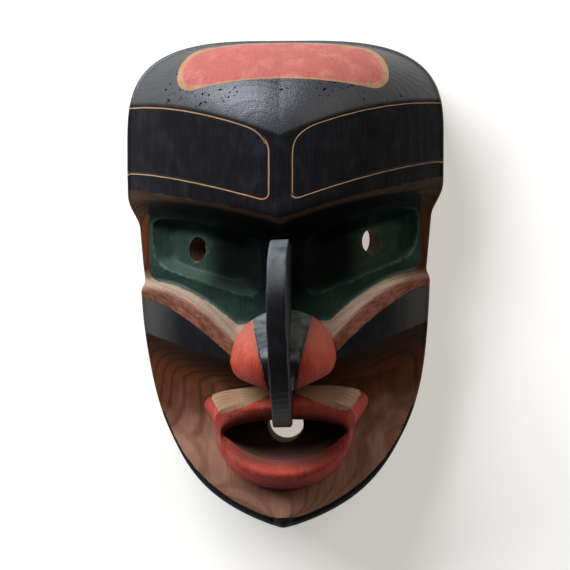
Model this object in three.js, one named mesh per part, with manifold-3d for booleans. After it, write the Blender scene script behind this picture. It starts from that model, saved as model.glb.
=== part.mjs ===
// A carved and painted cedar face mask: a heavy two-panel brow, sunken eye troughs, banded cheeks,
// a thin hooked beak over a flared nose, and a muzzle with parted lips. It is one carved block,
// hollowed from behind, and it lies face up on its flat back rim.
// Millimetres. X runs to the viewer's right, Y towards the forehead, Z out of the face.
import * as THREE from 'three';
import { mergeVertices } from 'three/addons/utils/BufferGeometryUtils.js';
import Module from 'manifold-3d';

const wasm = await Module();
wasm.setup();

// Outline of the face as seen from the front, before its edge is rounded over.
const FOREHEAD = { shoulderY: 85, rise: 62.8, halfWidth: 96, squareness: 3.3 };
const TEMPLE = { topY: 58, notchY: 38, footY: 5, halfWidthTop: 88.6, halfWidthFoot: 85.6 };
const JAW = { topY: -3, chinY: -147.6, halfWidth: 89.4, flare: 38, fullness: 0.82 };
const CROWN_Y = 147.7;

// The edge all round: how far it is rounded outwards, how deep the rounding is, and the rim below.
const EDGE = {
  over: 2, overChin: 5.2, drop: 3.5, dropChin: 9, chinFromY: -95, chinToY: -132, tuck: 1,
  shoulderOver: 0.7, shoulderDrop: 0.35,
};
const RIM_WIDTH = 9;

// The carved lines that cross the face, from the crown to the chin. Each leaves the outline at
// height `side` and reaches `mid` at the centre, `bend` tells how late it turns down, and its depth
// goes from zMid at the centre to zSide at the outline along an arch.
const LINES = [
  { name: 'crown', side: CROWN_Y, mid: CROWN_Y, bend: 1, zMid: 36, zSide: 36, arch: 2 },
  { name: 'panelTop', side: 109.5, mid: 86, bend: 1.75, zMid: 97, zSide: 40, arch: 1.75 },
  { name: 'panelFoot', side: 71, mid: 47.5, bend: 1.35, zMid: 98.5, zSide: 40, arch: 1.75 },
  { name: 'browEdge', side: 61, mid: 38.7, bend: 1.2, zMid: 99, zSide: 38, arch: 1.75 },
  { name: 'chamferFoot', side: 54, mid: 35.3, bend: 1.8, zMid: 93, zSide: 38, arch: 1.8 },
  { name: 'socketTop', side: 45, mid: 22, bend: 1.5, zMid: 66, zSide: 36, arch: 1.7 },
  { name: 'sill', side: 15, mid: -15.3, bend: 1.05, zMid: 68, zSide: 37, arch: 1.8 },
  { name: 'valley', side: 6, mid: -56, bend: 2, zMid: 66, zSide: 35, arch: 1.8 },
  { name: 'crest', side: -1, mid: -83, bend: 2, zMid: 74, zSide: 40, arch: 2 },
  { name: 'bandTop', side: -6, mid: -80.8, bend: 1.5, zMid: 73, zSide: 38, arch: 2.6 },
  { name: 'bandFoot', side: -28, mid: -58.5, bend: 1, zMid: 68, zSide: 36, arch: 2.6 },
  { name: 'cheekHollow', side: -52, mid: -76, bend: 1, zMid: 58, zSide: 34, arch: 2 },
  { name: 'jaw', side: -92, mid: -108, bend: 1, zMid: 62, zSide: 37, arch: 2 },
  { name: 'chin', side: -146.2, mid: -146.8, bend: 1, zMid: 64, zSide: 58, arch: 2 },
];
// The cheek lines meet beside the nose and run on level behind it.
const NOSE_SHARE = 0.33;
const CHEEK_LINES = ['valley', 'crest', 'bandTop', 'bandFoot', 'cheekHollow'];

// How the surface goes from one line to the next, and in how many rows.
const BANDS = [
  { ease: 'dome', rows: 9 },
  { ease: 'straight', rows: 3 },
  { ease: 'straight', rows: 1 },
  { ease: 'straight', rows: 1 },
  { ease: 'cove', rows: 4 },
  { ease: 'straight', rows: 4 },
  { ease: 'straight', rows: 1 },
  { ease: 'straight', rows: 2 },
  { ease: 'straight', rows: 1 },
  { ease: 'swell', rows: 3 },
  { ease: 'cove', rows: 3 },
  { ease: 'straight', rows: 4 },
  { ease: 'straight', rows: 7 },
];
// Columns on each side of the centre, a little wider at the centre than at the outline.
const COLUMNS = { perSide: 19, widening: 0.2 };

// The hand-carved lean: the right brow, eye and cheek sit a little higher than the left, and the
// mouth and jaw stand a little to the right.
const LEAN = { amount: 0.045, centreY: 5, reach: 100, sharpness: 4 };
const SWAY = { amount: 1.7, centreY: -75, reach: 45, sharpness: 2 };

// The two brow panels, each outlined by an incised line that starts and ends at the outline.
const PANEL = {
  innerX: 7, outerX: 99, topTurnX: 14, topTurnY: 12, footTurnX: 6, footTurnY: 5, legPoints: 8, turnPoints: 4,
};
const INCISED = { depth: 1.2, above: 0.5, cutWidth: 2.4, sideSlope: 1.2 };

// Eye troughs, as shares of the band between socketTop and sill. The opening through each leans
// outwards as it comes forward, by so much for each millimetre of depth, the left one more steeply.
const TROUGH = {
  inner: 0.15, outer: 0.93, squareness: 5, depth: 10, middleShare: 0.35, floorShare: 0.7,
  clearShare: 1.08, clearHeight: 6, clearZ: 130, sides: 26,
};
const EYE_HOLE = {
  x: 53.5, y: 23, width: 11, height: 15, leanRight: 0.65, leanLeft: 1.25, length: 60, sides: 20,
};

// Nose: a leaf-shaped bulb with two nostril wings and a flat underside.
const NOSE = {
  halfWidth: 31.5, topY: -15.6, topTurn: 29, footY: -64.7, footRise: 11.8, footTurn: 6.5, footTurnBend: 18,
  zFoot: 52, zEdge: 72, zPeak: 110, zWingDrop: 30, wingBend: 2.2, peakAt: 0.62, swell: 0.9, footSag: 0.3,
  wingEnd: 0.999, columns: 9, rows: 8,
};

// Beak: a flat fin that springs forward from between the brows and hooks down over the mouth.
const BEAK = {
  width: 11.2, rootZ: 58, topY: 26.4, topZ: 94, frontY: -10, frontZ: 141,
  tipY: -84, tipFrontZ: 95, tipBackZ: 84, throatY: -60, throatZ: 76, curvePoints: 9,
  browFullness: 0.55, noseFullness: 0.45, hookReach: 0.84, hookFullness: 0.6,
  rootInset: 4, throatCurve: 6, throatInset: 8,
};

// Muzzle: rings from the mouth opening outwards, each a squared oval about its own centre line, with
// its own reach, squareness and depth above and below it. `point` draws the lower half up into two
// pointed corners, and `flare` widens the upper half towards its top.
const MOUTH_RINGS = [
  { half: 37, centre: -90.3, up: 8.4, down: 16, square: [2, 2], point: 1.7, flare: 0, z: [72, 66, 72] },
  { half: 38, centre: -90.3, up: 12.5, down: 20.2, square: [2.1, 2.1], point: 1.4, flare: 0, z: [80.5, 69, 76.5] },
  { half: 39, centre: -90.2, up: 17, down: 25, square: [2.4, 2.15], point: 1.15, flare: 0.05, z: [84.5, 70, 78.5] },
  { half: 40.6, centre: -90, up: 20.5, down: 33, square: [2.8, 2.1], point: 1, flare: 0.2, z: [82.5, 68, 72] },
  { half: 41.8, centre: -88, up: 25.5, down: 37, square: [2.8, 2.05], point: 1, flare: 0.56, z: [61, 50, 66] },
  { half: 42.2, centre: -88, up: 26, down: 37.5, square: [2.8, 2.05], point: 1, flare: 0.56, z: [38, 38, 38] },
];
const MOUTH_SIDES = 40;
const MOUTH_CAVITY = [
  { half: 37.4, centre: -90.3, up: 8.8, down: 16.4, square: [2, 2], point: 1.7, flare: 0, z: [140, 140, 140] },
  { half: 37.2, centre: -90.3, up: 8.6, down: 16.2, square: [2, 2], point: 1.7, flare: 0, z: [71.5, 65.5, 71.5] },
  { half: 33, centre: -90.5, up: 8, down: 13, square: [2, 2], point: 1.4, flare: 0, z: [58, 56, 58] },
  { half: 24, centre: -90, up: 7, down: 9.5, square: [2, 2], point: 1, flare: 0, z: [45, 46, 45] },
];
const FLARE_BEND = 1.1;
const MOUTH_HOLE = { x: -0.6, y: -87.5, radius: 11, fromZ: 5, toZ: 62, sides: 28 };

// Hollow behind the face, for the wearer's head.
const HOLLOW = {
  centreY: 4, depthBrow: 72, depthEyes: 46, depthJaw: 32, browY: 75, eyesY: 20, jawY: -70,
  roundness: 2.6, fullness: 0.95, rings: [1, 0.94, 0.85, 0.72, 0.55, 0.35, 0.15], outlineSteps: 17, below: 6,
};

// Corners closer together than this are one corner.
const WELD = 1e-4;
const CEDAR = { color: '#6b4630', roughness: 0.55, metalness: 0 };

const mix = (a, b, t) => a + (b - a) * t;
const clamp01 = (v) => Math.min(1, Math.max(0, v));

function smooth(from, to, value) {
  const t = clamp01((value - from) / (to - from));
  return t * t * (3 - 2 * t);
}

const squared = (v, squareness) => Math.sign(v) * Math.abs(v) ** (2 / squareness);

// Half the width of the face at height y.
function halfWidth(y) {
  if (y > FOREHEAD.shoulderY) {
    const up = clamp01((y - FOREHEAD.shoulderY) / FOREHEAD.rise);
    return FOREHEAD.halfWidth * (1 - up ** FOREHEAD.squareness) ** (1 / FOREHEAD.squareness);
  }
  const jaw = JAW.halfWidth * clamp01(1 - Math.exp((JAW.chinY - y) / JAW.flare)) ** JAW.fullness;
  const along = (y - TEMPLE.footY) / (TEMPLE.notchY - TEMPLE.footY);
  const temple = mix(TEMPLE.halfWidthFoot, TEMPLE.halfWidthTop, along);
  const brow = mix(temple, FOREHEAD.halfWidth, smooth(TEMPLE.notchY, TEMPLE.topY, y));
  return mix(jaw, brow, smooth(JAW.topY, TEMPLE.footY, y));
}

// Height and depth of a carved line at a share of the half width, 0 at the centre and 1 outside.
function lineAt(line, share) {
  const along = CHEEK_LINES.includes(line.name) ? Math.max(share, NOSE_SHARE) : share;
  const y = mix(line.side, line.mid, (1 - along) ** line.bend);
  const z = mix(line.zMid, line.zSide, share ** line.arch);
  return { y, z };
}

// A point of the band below line number `band`, at t from its upper line (0) to its lower (1).
function bandAt(band, share, t) {
  const upper = lineAt(LINES[band], share);
  const lower = lineAt(LINES[band + 1], share);
  if (BANDS[band].ease === 'dome') {
    const angle = (1 - t) * Math.PI / 2;
    return { y: mix(lower.y, upper.y, Math.sin(angle)), z: mix(upper.z, lower.z, Math.cos(angle)) };
  }
  const shares = { straight: t, cove: 1 - (1 - t) ** 2, swell: t ** 2 };
  return { y: mix(upper.y, lower.y, t), z: mix(upper.z, lower.z, shares[BANDS[band].ease]) };
}

// Depth of the carved face at any point of the front.
function faceHeight(x, y) {
  const share = Math.min(1, Math.abs(x) / halfWidth(y));
  const last = BANDS.length - 1;
  let band = 0;
  while (band < last && lineAt(LINES[band + 1], share).y > y) band += 1;
  const upper = lineAt(LINES[band], share).y;
  const lower = lineAt(LINES[band + 1], share).y;
  const along = clamp01((upper - y) / (upper - lower));
  const t = BANDS[band].ease === 'dome' ? 1 - Math.asin(1 - along) * 2 / Math.PI : along;
  return bandAt(band, share, t).z;
}

// A closed solid from vertices and triangles, turned inside out if its volume comes out negative.
function solid(points, triangles) {
  const positions = new Float32Array(points.flatMap((p) => [p.x, p.y, p.z]));
  const geometry = new THREE.BufferGeometry();
  geometry.setAttribute('position', new THREE.BufferAttribute(positions, 3));
  geometry.setIndex(triangles.flat());
  return solidOf(geometry);
}

function solidOf(geometry) {
  const plain = geometry.clone();
  plain.deleteAttribute('normal');
  plain.deleteAttribute('uv');
  const merged = mergeVertices(plain, WELD);
  const position = merged.attributes.position.array;
  const kept = [];
  let volume = 0;
  const [a, b, c] = [new THREE.Vector3(), new THREE.Vector3(), new THREE.Vector3()];
  for (let i = 0; i < merged.index.count; i += 3) {
    const corner = [0, 1, 2].map((k) => merged.index.getX(i + k));
    if (corner[0] === corner[1] || corner[1] === corner[2] || corner[2] === corner[0]) continue;
    kept.push(corner);
    a.fromArray(position, corner[0] * 3);
    b.fromArray(position, corner[1] * 3);
    c.fromArray(position, corner[2] * 3);
    volume += a.dot(b.clone().cross(c));
  }
  const triVerts = new Uint32Array(kept.flatMap((t) => (volume < 0 ? [t[0], t[2], t[1]] : t)));
  return new wasm.Manifold(new wasm.Mesh({ numProp: 3, vertProperties: position, triVerts }));
}

// A solid from a stack of loops with equally many points, closed by a fan at each end.
function loft(loops) {
  const count = loops[0].length;
  const points = loops.flat();
  const triangles = [];
  for (let ring = 0; ring + 1 < loops.length; ring += 1) {
    for (let i = 0; i < count; i += 1) {
      const [p, q] = [ring * count + i, ring * count + (i + 1) % count];
      triangles.push([p, q, q + count], [p, q + count, p + count]);
    }
  }
  const ends = [[loops[0], 0], [loops[loops.length - 1], (loops.length - 1) * count]];
  ends.forEach(([loop, start], end) => {
    const middle = loop.reduce((sum, p) => sum.add(p), new THREE.Vector3()).divideScalar(count);
    const centre = points.push(middle) - 1;
    for (let i = 0; i < count; i += 1) {
      const [p, q] = [start + i, start + (i + 1) % count];
      triangles.push(end === 0 ? [centre, q, p] : [centre, p, q]);
    }
  });
  return solid(points, triangles);
}

// A loop moved outwards in the XY plane, by a distance that may change with y, to a new depth.
function offsetLoop(loop, distance, depth) {
  return loop.map((point, i) => {
    const before = loop[(i + loop.length - 1) % loop.length];
    const after = loop[(i + 1) % loop.length];
    const normal = new THREE.Vector2(after.y - before.y, before.x - after.x).normalize();
    const out = distance(point.y);
    return new THREE.Vector3(point.x + normal.x * out, point.y + normal.y * out, depth(point));
  });
}

// The face as a block: the carved front on a grid, a rounded edge, a side wall and a flat back.
function faceBlock() {
  const shares = [];
  for (let i = -COLUMNS.perSide; i <= COLUMNS.perSide; i += 1) {
    const u = Math.abs(i) / COLUMNS.perSide;
    shares.push(Math.sign(i) * u * (1 + COLUMNS.widening * (1 - u)));
  }
  const rows = BANDS.flatMap(({ rows: count }, band) => (
    Array.from({ length: count }, (_, k) => ({ band, t: k / count }))));
  rows.push({ band: BANDS.length - 1, t: 1 });
  const grid = rows.map(({ band, t }) => shares.map((share) => {
    const { y, z } = bandAt(band, Math.abs(share), t);
    return new THREE.Vector3(share * halfWidth(y), y, z);
  }));

  const [last, right] = [rows.length - 1, shares.length - 1];
  const border = [];
  for (let r = 0; r < last; r += 1) border.push([r, 0]);
  for (let c = 0; c < right; c += 1) border.push([last, c]);
  for (let r = last; r > 0; r -= 1) border.push([r, right]);
  for (let c = right; c > 0; c -= 1) border.push([0, c]);
  const edge = border.map(([r, c]) => grid[r][c]);

  const chin = (y) => smooth(EDGE.chinFromY, EDGE.chinToY, y);
  const over = (y) => mix(EDGE.over, EDGE.overChin, chin(y));
  const drop = (y) => mix(EDGE.drop, EDGE.dropChin, chin(y));
  const outward = (part) => (y) => over(y) * part;
  const rings = [
    offsetLoop(edge, outward(EDGE.shoulderOver), (p) => p.z - drop(p.y) * EDGE.shoulderDrop),
    offsetLoop(edge, outward(1), (p) => p.z - drop(p.y)),
    offsetLoop(edge, (y) => over(y) - EDGE.tuck, () => 0),
  ];

  const points = grid.flat();
  const triangles = [];
  const width = shares.length;
  for (let r = 0; r < last; r += 1) {
    for (let c = 0; c < right; c += 1) {
      const [p, q] = [r * width + c, (r + 1) * width + c];
      const left = [[p, q, q + 1], [p, q + 1, p + 1]];
      const mirrored = [[p, q, p + 1], [p + 1, q, q + 1]];
      triangles.push(...(c < right / 2 ? left : mirrored));
    }
  }
  let inner = border.map(([r, c]) => r * width + c);
  rings.forEach((ring) => {
    const outer = ring.map((p) => points.push(p) - 1);
    outer.forEach((_, i) => {
      const j = (i + 1) % outer.length;
      triangles.push([inner[i], outer[i], outer[j]], [inner[i], outer[j], inner[j]]);
    });
    inner = outer;
  });
  const foot = rings[rings.length - 1].map((p) => new THREE.Vector2(p.x, p.y));
  const back = THREE.ShapeUtils.triangulateShape(foot, []);
  const turn = THREE.ShapeUtils.isClockWise(foot) ? [0, 1, 2] : [0, 2, 1];
  back.forEach((t) => triangles.push(turn.map((k) => inner[t[k]])));
  return solid(points, triangles);
}

// One panel's incised line, as the tool that cuts it: a V section carried along the panel's edge.
function panelLine(side) {
  const [top, foot] = ['panelTop', 'panelFoot'].map((name) => LINES.find((line) => line.name === name));
  const onLine = (line, x) => new THREE.Vector2(x, lineAt(line, Math.min(1, x / FOREHEAD.halfWidth)).y);
  const topTurn = onLine(top, PANEL.innerX + PANEL.topTurnX);
  const footTurn = onLine(foot, PANEL.innerX + PANEL.footTurnX);
  const [topCorner, footCorner] = [onLine(top, PANEL.innerX), onLine(foot, PANEL.innerX)];
  const down = topCorner.clone().add(new THREE.Vector2(0, -PANEL.topTurnY));
  const up = footCorner.clone().add(new THREE.Vector2(0, PANEL.footTurnY));
  const leg = (line, from, to) => Array.from({ length: PANEL.legPoints }, (_, k) => (
    onLine(line, mix(from, to, k / PANEL.legPoints))));
  const path = [
    ...leg(top, PANEL.outerX, topTurn.x),
    ...new THREE.QuadraticBezierCurve(topTurn, topCorner, down).getPoints(PANEL.turnPoints),
    down.clone().lerp(up, 0.5),
    ...new THREE.QuadraticBezierCurve(up, footCorner, footTurn).getPoints(PANEL.turnPoints),
    ...leg(foot, PANEL.outerX, footTurn.x).reverse(),
  ];
  const sections = path.map((point, i) => {
    const ahead = path[Math.min(i + 1, path.length - 1)].clone().sub(path[Math.max(i - 1, 0)]).normalize();
    const across = new THREE.Vector2(-ahead.y, ahead.x).multiplyScalar(INCISED.cutWidth / 2);
    const inside = Math.min(point.x, FOREHEAD.halfWidth);
    const z = faceHeight(inside, point.y) - INCISED.sideSlope * (point.x - inside);
    const corners = [[-1, INCISED.above], [1, INCISED.above], [0, -INCISED.depth]];
    return corners.map(([k, lift]) => (
      new THREE.Vector3(side * (point.x + across.x * k), point.y + across.y * k, z + lift)));
  });
  return loft(sections);
}

// One eye trough, as the tool that cuts it: a rounded oblong that follows the band it lies in.
function troughCutter(side) {
  const band = LINES.findIndex((line) => line.name === 'socketTop');
  const middle = (TROUGH.inner + TROUGH.outer) / 2;
  const reach = (TROUGH.outer - TROUGH.inner) / 2;
  const ring = (scale, lift, capZ) => Array.from({ length: TROUGH.sides }, (_, i) => {
    const angle = (i + 0.5) / TROUGH.sides * 2 * Math.PI;
    const share = middle + reach * scale * squared(Math.cos(angle), TROUGH.squareness);
    const t = 0.5 + 0.5 * scale * squared(Math.sin(angle), TROUGH.squareness);
    const upper = lineAt(LINES[band], share).y;
    const lower = lineAt(LINES[band + 1], share).y;
    const y = mix(upper, lower, t);
    const x = share * halfWidth(y);
    return new THREE.Vector3(side * x, y, capZ ?? faceHeight(x, y) + lift);
  });
  return loft([
    ring(TROUGH.middleShare, -TROUGH.depth),
    ring(TROUGH.floorShare, -TROUGH.depth),
    ring(1, 0),
    ring(TROUGH.clearShare, TROUGH.clearHeight),
    ring(TROUGH.clearShare, 0, TROUGH.clearZ),
  ]);
}

// The opening through an eye trough: an oval rod whose sections step sideways. The trough's floor
// falls away outwards, so the rod is widened until it leaves the named width on that floor.
function eyeHole(side) {
  const { x, y, width, height, length, sides } = EYE_HOLE;
  const lean = side > 0 ? EYE_HOLE.leanRight : EYE_HOLE.leanLeft;
  const floorFall = (faceHeight(x - width / 2, y) - faceHeight(x + width / 2, y)) / width;
  const geometry = new THREE.CylinderGeometry(1, 1, length, sides);
  geometry.rotateX(Math.PI / 2);
  geometry.scale(width / 2 * (1 + floorFall * lean), height / 2, 1);
  geometry.applyMatrix4(new THREE.Matrix4().makeShear(0, 0, 0, 0, side * lean, 0));
  geometry.translate(side * x, y, faceHeight(x, y) - TROUGH.depth);
  return solidOf(geometry);
}

// The nose, from wing to wing, with its front surface on a grid and walls straight back from it.
function noseBody() {
  const loops = [];
  const along = (i) => Math.sin((i / NOSE.columns) * Math.PI / 2);
  for (let i = -NOSE.columns; i <= NOSE.columns; i += 1) {
    const wing = Math.min(NOSE.wingEnd, Math.abs(along(i)));
    const x = Math.sign(i) * wing * NOSE.halfWidth;
    const top = NOSE.topY - NOSE.topTurn * (1 - Math.sqrt(1 - wing ** 2));
    const foot = NOSE.footY + NOSE.footRise * wing + NOSE.footTurn * wing ** NOSE.footTurnBend;
    const peak = NOSE.zPeak - NOSE.zWingDrop * wing ** NOSE.wingBend;
    const front = Array.from({ length: NOSE.rows + 1 }, (_, k) => {
      const t = k / NOSE.rows;
      const rise = Math.sin(Math.min(1, t / NOSE.peakAt) * Math.PI / 2) ** NOSE.swell;
      const sag = NOSE.footSag * (Math.max(0, t - NOSE.peakAt) / (1 - NOSE.peakAt)) ** 2;
      return new THREE.Vector3(x, mix(top, foot, t), mix(NOSE.zEdge, peak, rise - sag));
    });
    loops.push([...front, new THREE.Vector3(x, foot, NOSE.zFoot), new THREE.Vector3(x, top, NOSE.zFoot)]);
  }
  return loft(loops);
}

// The beak's side profile, extruded across its width.
function beak() {
  const profile = new THREE.Shape();
  profile.moveTo(BEAK.topY - BEAK.rootInset, BEAK.rootZ);
  profile.lineTo(BEAK.topY, BEAK.topZ);
  profile.bezierCurveTo(
    BEAK.topY, mix(BEAK.topZ, BEAK.frontZ, BEAK.browFullness),
    mix(BEAK.frontY, BEAK.topY, BEAK.browFullness), BEAK.frontZ,
    BEAK.frontY, BEAK.frontZ,
  );
  profile.bezierCurveTo(
    mix(BEAK.frontY, BEAK.tipY, BEAK.noseFullness), BEAK.frontZ,
    mix(BEAK.frontY, BEAK.tipY, BEAK.hookReach), mix(BEAK.tipFrontZ, BEAK.frontZ, BEAK.hookFullness),
    BEAK.tipY, BEAK.tipFrontZ,
  );
  profile.lineTo(BEAK.tipY, BEAK.tipBackZ);
  profile.quadraticCurveTo(
    BEAK.throatY - BEAK.throatCurve, BEAK.throatZ + BEAK.throatCurve, BEAK.throatY, BEAK.throatZ);
  profile.lineTo(BEAK.throatY + BEAK.throatInset, BEAK.rootZ);
  const settings = { depth: BEAK.width, bevelEnabled: false, curveSegments: BEAK.curvePoints };
  const geometry = new THREE.ExtrudeGeometry(profile, settings);
  geometry.translate(0, 0, -BEAK.width / 2);
  const across = new THREE.Matrix4().makeBasis(
    new THREE.Vector3(0, 1, 0), new THREE.Vector3(0, 0, 1), new THREE.Vector3(1, 0, 0));
  geometry.applyMatrix4(across);
  return solidOf(geometry);
}

// One ring of the muzzle: a squared oval, whose depth goes from the top to the sides to the foot.
function mouthRing({ half, centre, up, down, square, point, flare, z }) {
  const [[squareUp, squareDown], [zUp, zSide, zDown]] = [square, z];
  return Array.from({ length: MOUTH_SIDES }, (_, i) => {
    const angle = i / MOUTH_SIDES * 2 * Math.PI;
    const [c, s] = [Math.cos(angle), Math.sin(angle)];
    if (s > 0) {
      const rise = squared(s, squareUp);
      const x = half * squared(c, squareUp) * (1 + flare * rise ** FLARE_BEND);
      return new THREE.Vector3(x, centre + up * rise, mix(zSide, zUp, s * s));
    }
    const y = centre + down * squared(s, squareDown / point);
    return new THREE.Vector3(half * squared(c, squareDown), y, mix(zSide, zDown, s * s));
  });
}

function mouthHole() {
  const { x, y, radius, fromZ, toZ, sides } = MOUTH_HOLE;
  const geometry = new THREE.CylinderGeometry(radius, radius, toZ - fromZ, sides);
  geometry.rotateX(Math.PI / 2);
  geometry.translate(x, y, (fromZ + toZ) / 2);
  return solidOf(geometry);
}

// The hollow, as rings that shrink from the rim's inner edge to its deepest place.
function hollow() {
  const chin = LINES[LINES.length - 1];
  const right = Array.from({ length: HOLLOW.outlineSteps }, (_, k) => {
    const y = mix(chin.side, CROWN_Y, 0.5 - 0.5 * Math.cos(k / (HOLLOW.outlineSteps - 1) * Math.PI));
    return new THREE.Vector3(halfWidth(y), y, 0);
  });
  const left = right.map((p) => new THREE.Vector3(-p.x, p.y, 0)).reverse();
  const rim = offsetLoop([...right, ...left], () => EDGE.over - EDGE.tuck - RIM_WIDTH, () => 0);
  const deepest = (y) => {
    const upper = mix(HOLLOW.depthEyes, HOLLOW.depthBrow, smooth(HOLLOW.eyesY, HOLLOW.browY, y));
    return mix(HOLLOW.depthJaw, upper, smooth(HOLLOW.jawY, HOLLOW.eyesY, y));
  };
  const loops = HOLLOW.rings.map((scale) => rim.map((p) => {
    const y = mix(HOLLOW.centreY, p.y, scale);
    const z = deepest(y) * (1 - scale ** HOLLOW.roundness) ** HOLLOW.fullness;
    return new THREE.Vector3(p.x * scale, y, z);
  }));
  const below = rim.map((p) => new THREE.Vector3(p.x, p.y, -HOLLOW.below));
  return loft([below, ...loops]);
}

function carvedMask() {
  const cuts = [1, -1].flatMap((side) => [troughCutter(side), panelLine(side)]);
  const muzzle = loft(MOUTH_RINGS.map(mouthRing));
  const cavity = loft(MOUTH_CAVITY.map(mouthRing));
  const face = cuts.reduce((block, cut) => block.subtract(cut), faceBlock());
  const carved = face.add(muzzle).subtract(cavity);
  const whole = carved.add(noseBody()).add(beak());
  return whole.subtract(hollow()).subtract(mouthHole()).subtract(eyeHole(1)).subtract(eyeHole(-1));
}

// How much of a lean or sway is felt at height y.
function felt({ amount, centreY, reach, sharpness }, y) {
  return amount * Math.exp(-(Math.abs((y - centreY) / reach) ** sharpness));
}

// The mask with its carver's lean, as a mesh centred on its own box, with its rim at height 0.
function maskMesh() {
  const { vertProperties, triVerts } = carvedMask().getMesh();
  const position = new THREE.BufferAttribute(new Float32Array(vertProperties), 3);
  for (let i = 0; i < position.count; i += 1) {
    const [x, y] = [position.getX(i), position.getY(i)];
    position.setXY(i, x + felt(SWAY, y), y + x * felt(LEAN, y));
  }
  const geometry = new THREE.BufferGeometry();
  geometry.setAttribute('position', position);
  geometry.setIndex(Array.from(triVerts));
  geometry.computeBoundingBox();
  const { min, max } = geometry.boundingBox;
  geometry.translate(-(min.x + max.x) / 2, -(min.y + max.y) / 2, -min.z);
  const mesh = new THREE.Mesh(geometry, new THREE.MeshStandardMaterial(CEDAR));
  mesh.name = 'mask';
  return mesh;
}

const maskGroup = new THREE.Group();
maskGroup.add(maskMesh());

export default maskGroup;
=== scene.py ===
"""A carved and painted cedar face mask, lying face up on its back rim, seen from above.

The face is one surface between carved lines that cross it from the crown to the chin. Tools cut
the eye troughs, the incised panel lines, the mouth and the hollow out of it, and the muzzle, nose
and beak stand on it. All of it is worked out in millimetres and turned to metres at the end.
"""
import math
from functools import partial

import bmesh
import bpy
import numpy as np
from mathutils import Matrix, Vector


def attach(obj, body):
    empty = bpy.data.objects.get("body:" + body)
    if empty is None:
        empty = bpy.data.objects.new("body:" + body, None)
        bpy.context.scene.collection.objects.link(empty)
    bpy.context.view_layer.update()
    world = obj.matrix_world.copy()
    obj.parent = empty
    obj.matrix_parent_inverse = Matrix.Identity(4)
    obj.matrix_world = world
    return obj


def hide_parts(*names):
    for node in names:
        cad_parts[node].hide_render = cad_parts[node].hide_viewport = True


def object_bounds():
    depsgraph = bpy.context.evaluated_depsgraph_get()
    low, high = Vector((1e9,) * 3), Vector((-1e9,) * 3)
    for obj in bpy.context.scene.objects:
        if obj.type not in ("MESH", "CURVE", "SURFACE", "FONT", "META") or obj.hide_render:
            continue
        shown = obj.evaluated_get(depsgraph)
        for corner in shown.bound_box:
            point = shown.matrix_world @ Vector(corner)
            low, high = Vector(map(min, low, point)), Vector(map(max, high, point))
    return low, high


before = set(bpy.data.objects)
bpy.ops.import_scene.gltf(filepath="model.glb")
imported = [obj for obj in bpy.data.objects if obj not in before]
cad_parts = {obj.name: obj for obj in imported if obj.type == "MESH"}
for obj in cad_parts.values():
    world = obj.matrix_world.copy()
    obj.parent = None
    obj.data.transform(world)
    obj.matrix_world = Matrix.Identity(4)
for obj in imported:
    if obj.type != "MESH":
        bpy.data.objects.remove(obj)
cad_low, cad_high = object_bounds()
MM = 0.001

# Outline of the face, as half widths at heights.
SHOULDER_Y, CROWN_RISE, FOREHEAD_HALF, CROWN_SQUARENESS = 85, 62.8, 96, 3.3
TEMPLE_TOP_Y, TEMPLE_NOTCH_Y, TEMPLE_FOOT_Y = 58, 38, 5
TEMPLE_HALF_TOP, TEMPLE_HALF_FOOT = 88.6, 85.6
JAW_TOP_Y, CHIN_Y, JAW_HALF, JAW_FLARE, JAW_FULLNESS = -3, -145.3, 89.4, 38, 0.82
CROWN_Y = 147.7

# The carved lines: side height, middle height, bend, middle depth, side depth, arch.
LINES = {
    "crown": (CROWN_Y, CROWN_Y, 1, 36, 36, 2),
    "panel_top": (109.5, 86, 1.75, 97, 40, 1.75),
    "panel_foot": (71, 47.5, 1.35, 98.5, 40, 1.75),
    "brow_edge": (61, 38.7, 1.2, 99, 38, 1.75),
    "chamfer_foot": (54, 35.3, 1.8, 93, 38, 1.8),
    "socket_top": (45, 22, 1.5, 66, 36, 1.7),
    "sill": (15, -15.3, 1.05, 68, 37, 1.8),
    "valley": (6, -56, 2, 66, 35, 1.8),
    "crest": (-1, -83, 2, 74, 40, 2),
    "band_top": (-6, -80.8, 1.5, 73, 38, 2.6),
    "band_foot": (-28, -58.5, 1, 68, 36, 2.6),
    "cheek_hollow": (-52, -76, 1, 58, 34, 2),
    "jaw": (-92, -108, 1, 62, 37, 2),
    "chin": (-143.9, -144.5, 1, 64, 58, 2),
}
NAMES = list(LINES)
NOSE_SHARE = 0.33
CHEEK_LINES = ("valley", "crest", "band_top", "band_foot", "cheek_hollow")

# How the surface goes from each line to the next, and in how many rows.
BANDS = [
    ("dome", 60), ("straight", 36), ("straight", 10), ("straight", 7), ("cove", 16), ("straight", 34),
    ("straight", 14), ("straight", 12), ("straight", 8), ("swell", 20), ("cove", 22), ("straight", 28),
    ("straight", 36),
]
COLUMNS_PER_SIDE = 98
COLUMN_WIDENING = 0.2
# How often each row is averaged with its neighbours: over the whole face, and over the rows from so
# many above to so many below the brow's edge.
EASED_ALL, EASED_BROW, BROW_ROWS_ABOVE, BROW_ROWS_BELOW = 3, 8, 9, 16
# The ridge down the middle of the brow: its height, its reach to the sides, and where it rises and ends.
RIDGE_HEIGHT, RIDGE_REACH, RIDGE_TOP, RIDGE_FOOT = 0.8, 5, (88, 78), (36, 46)
# Gouge marks: the value that lies level with the surface, so that scoops sink and the ridges between
# them stand, and for each surface the spacing and the depth.
MARK_LEVEL = 0.35
FACE_MARKS, FACE_MARK_DEPTH = 7.5, 0.16
TROUGH_MARKS, TROUGH_MARK_DEPTH = 6, 0.22
LIP_MARKS, LIP_MARK_DEPTH = 6.5, 0.12

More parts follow.
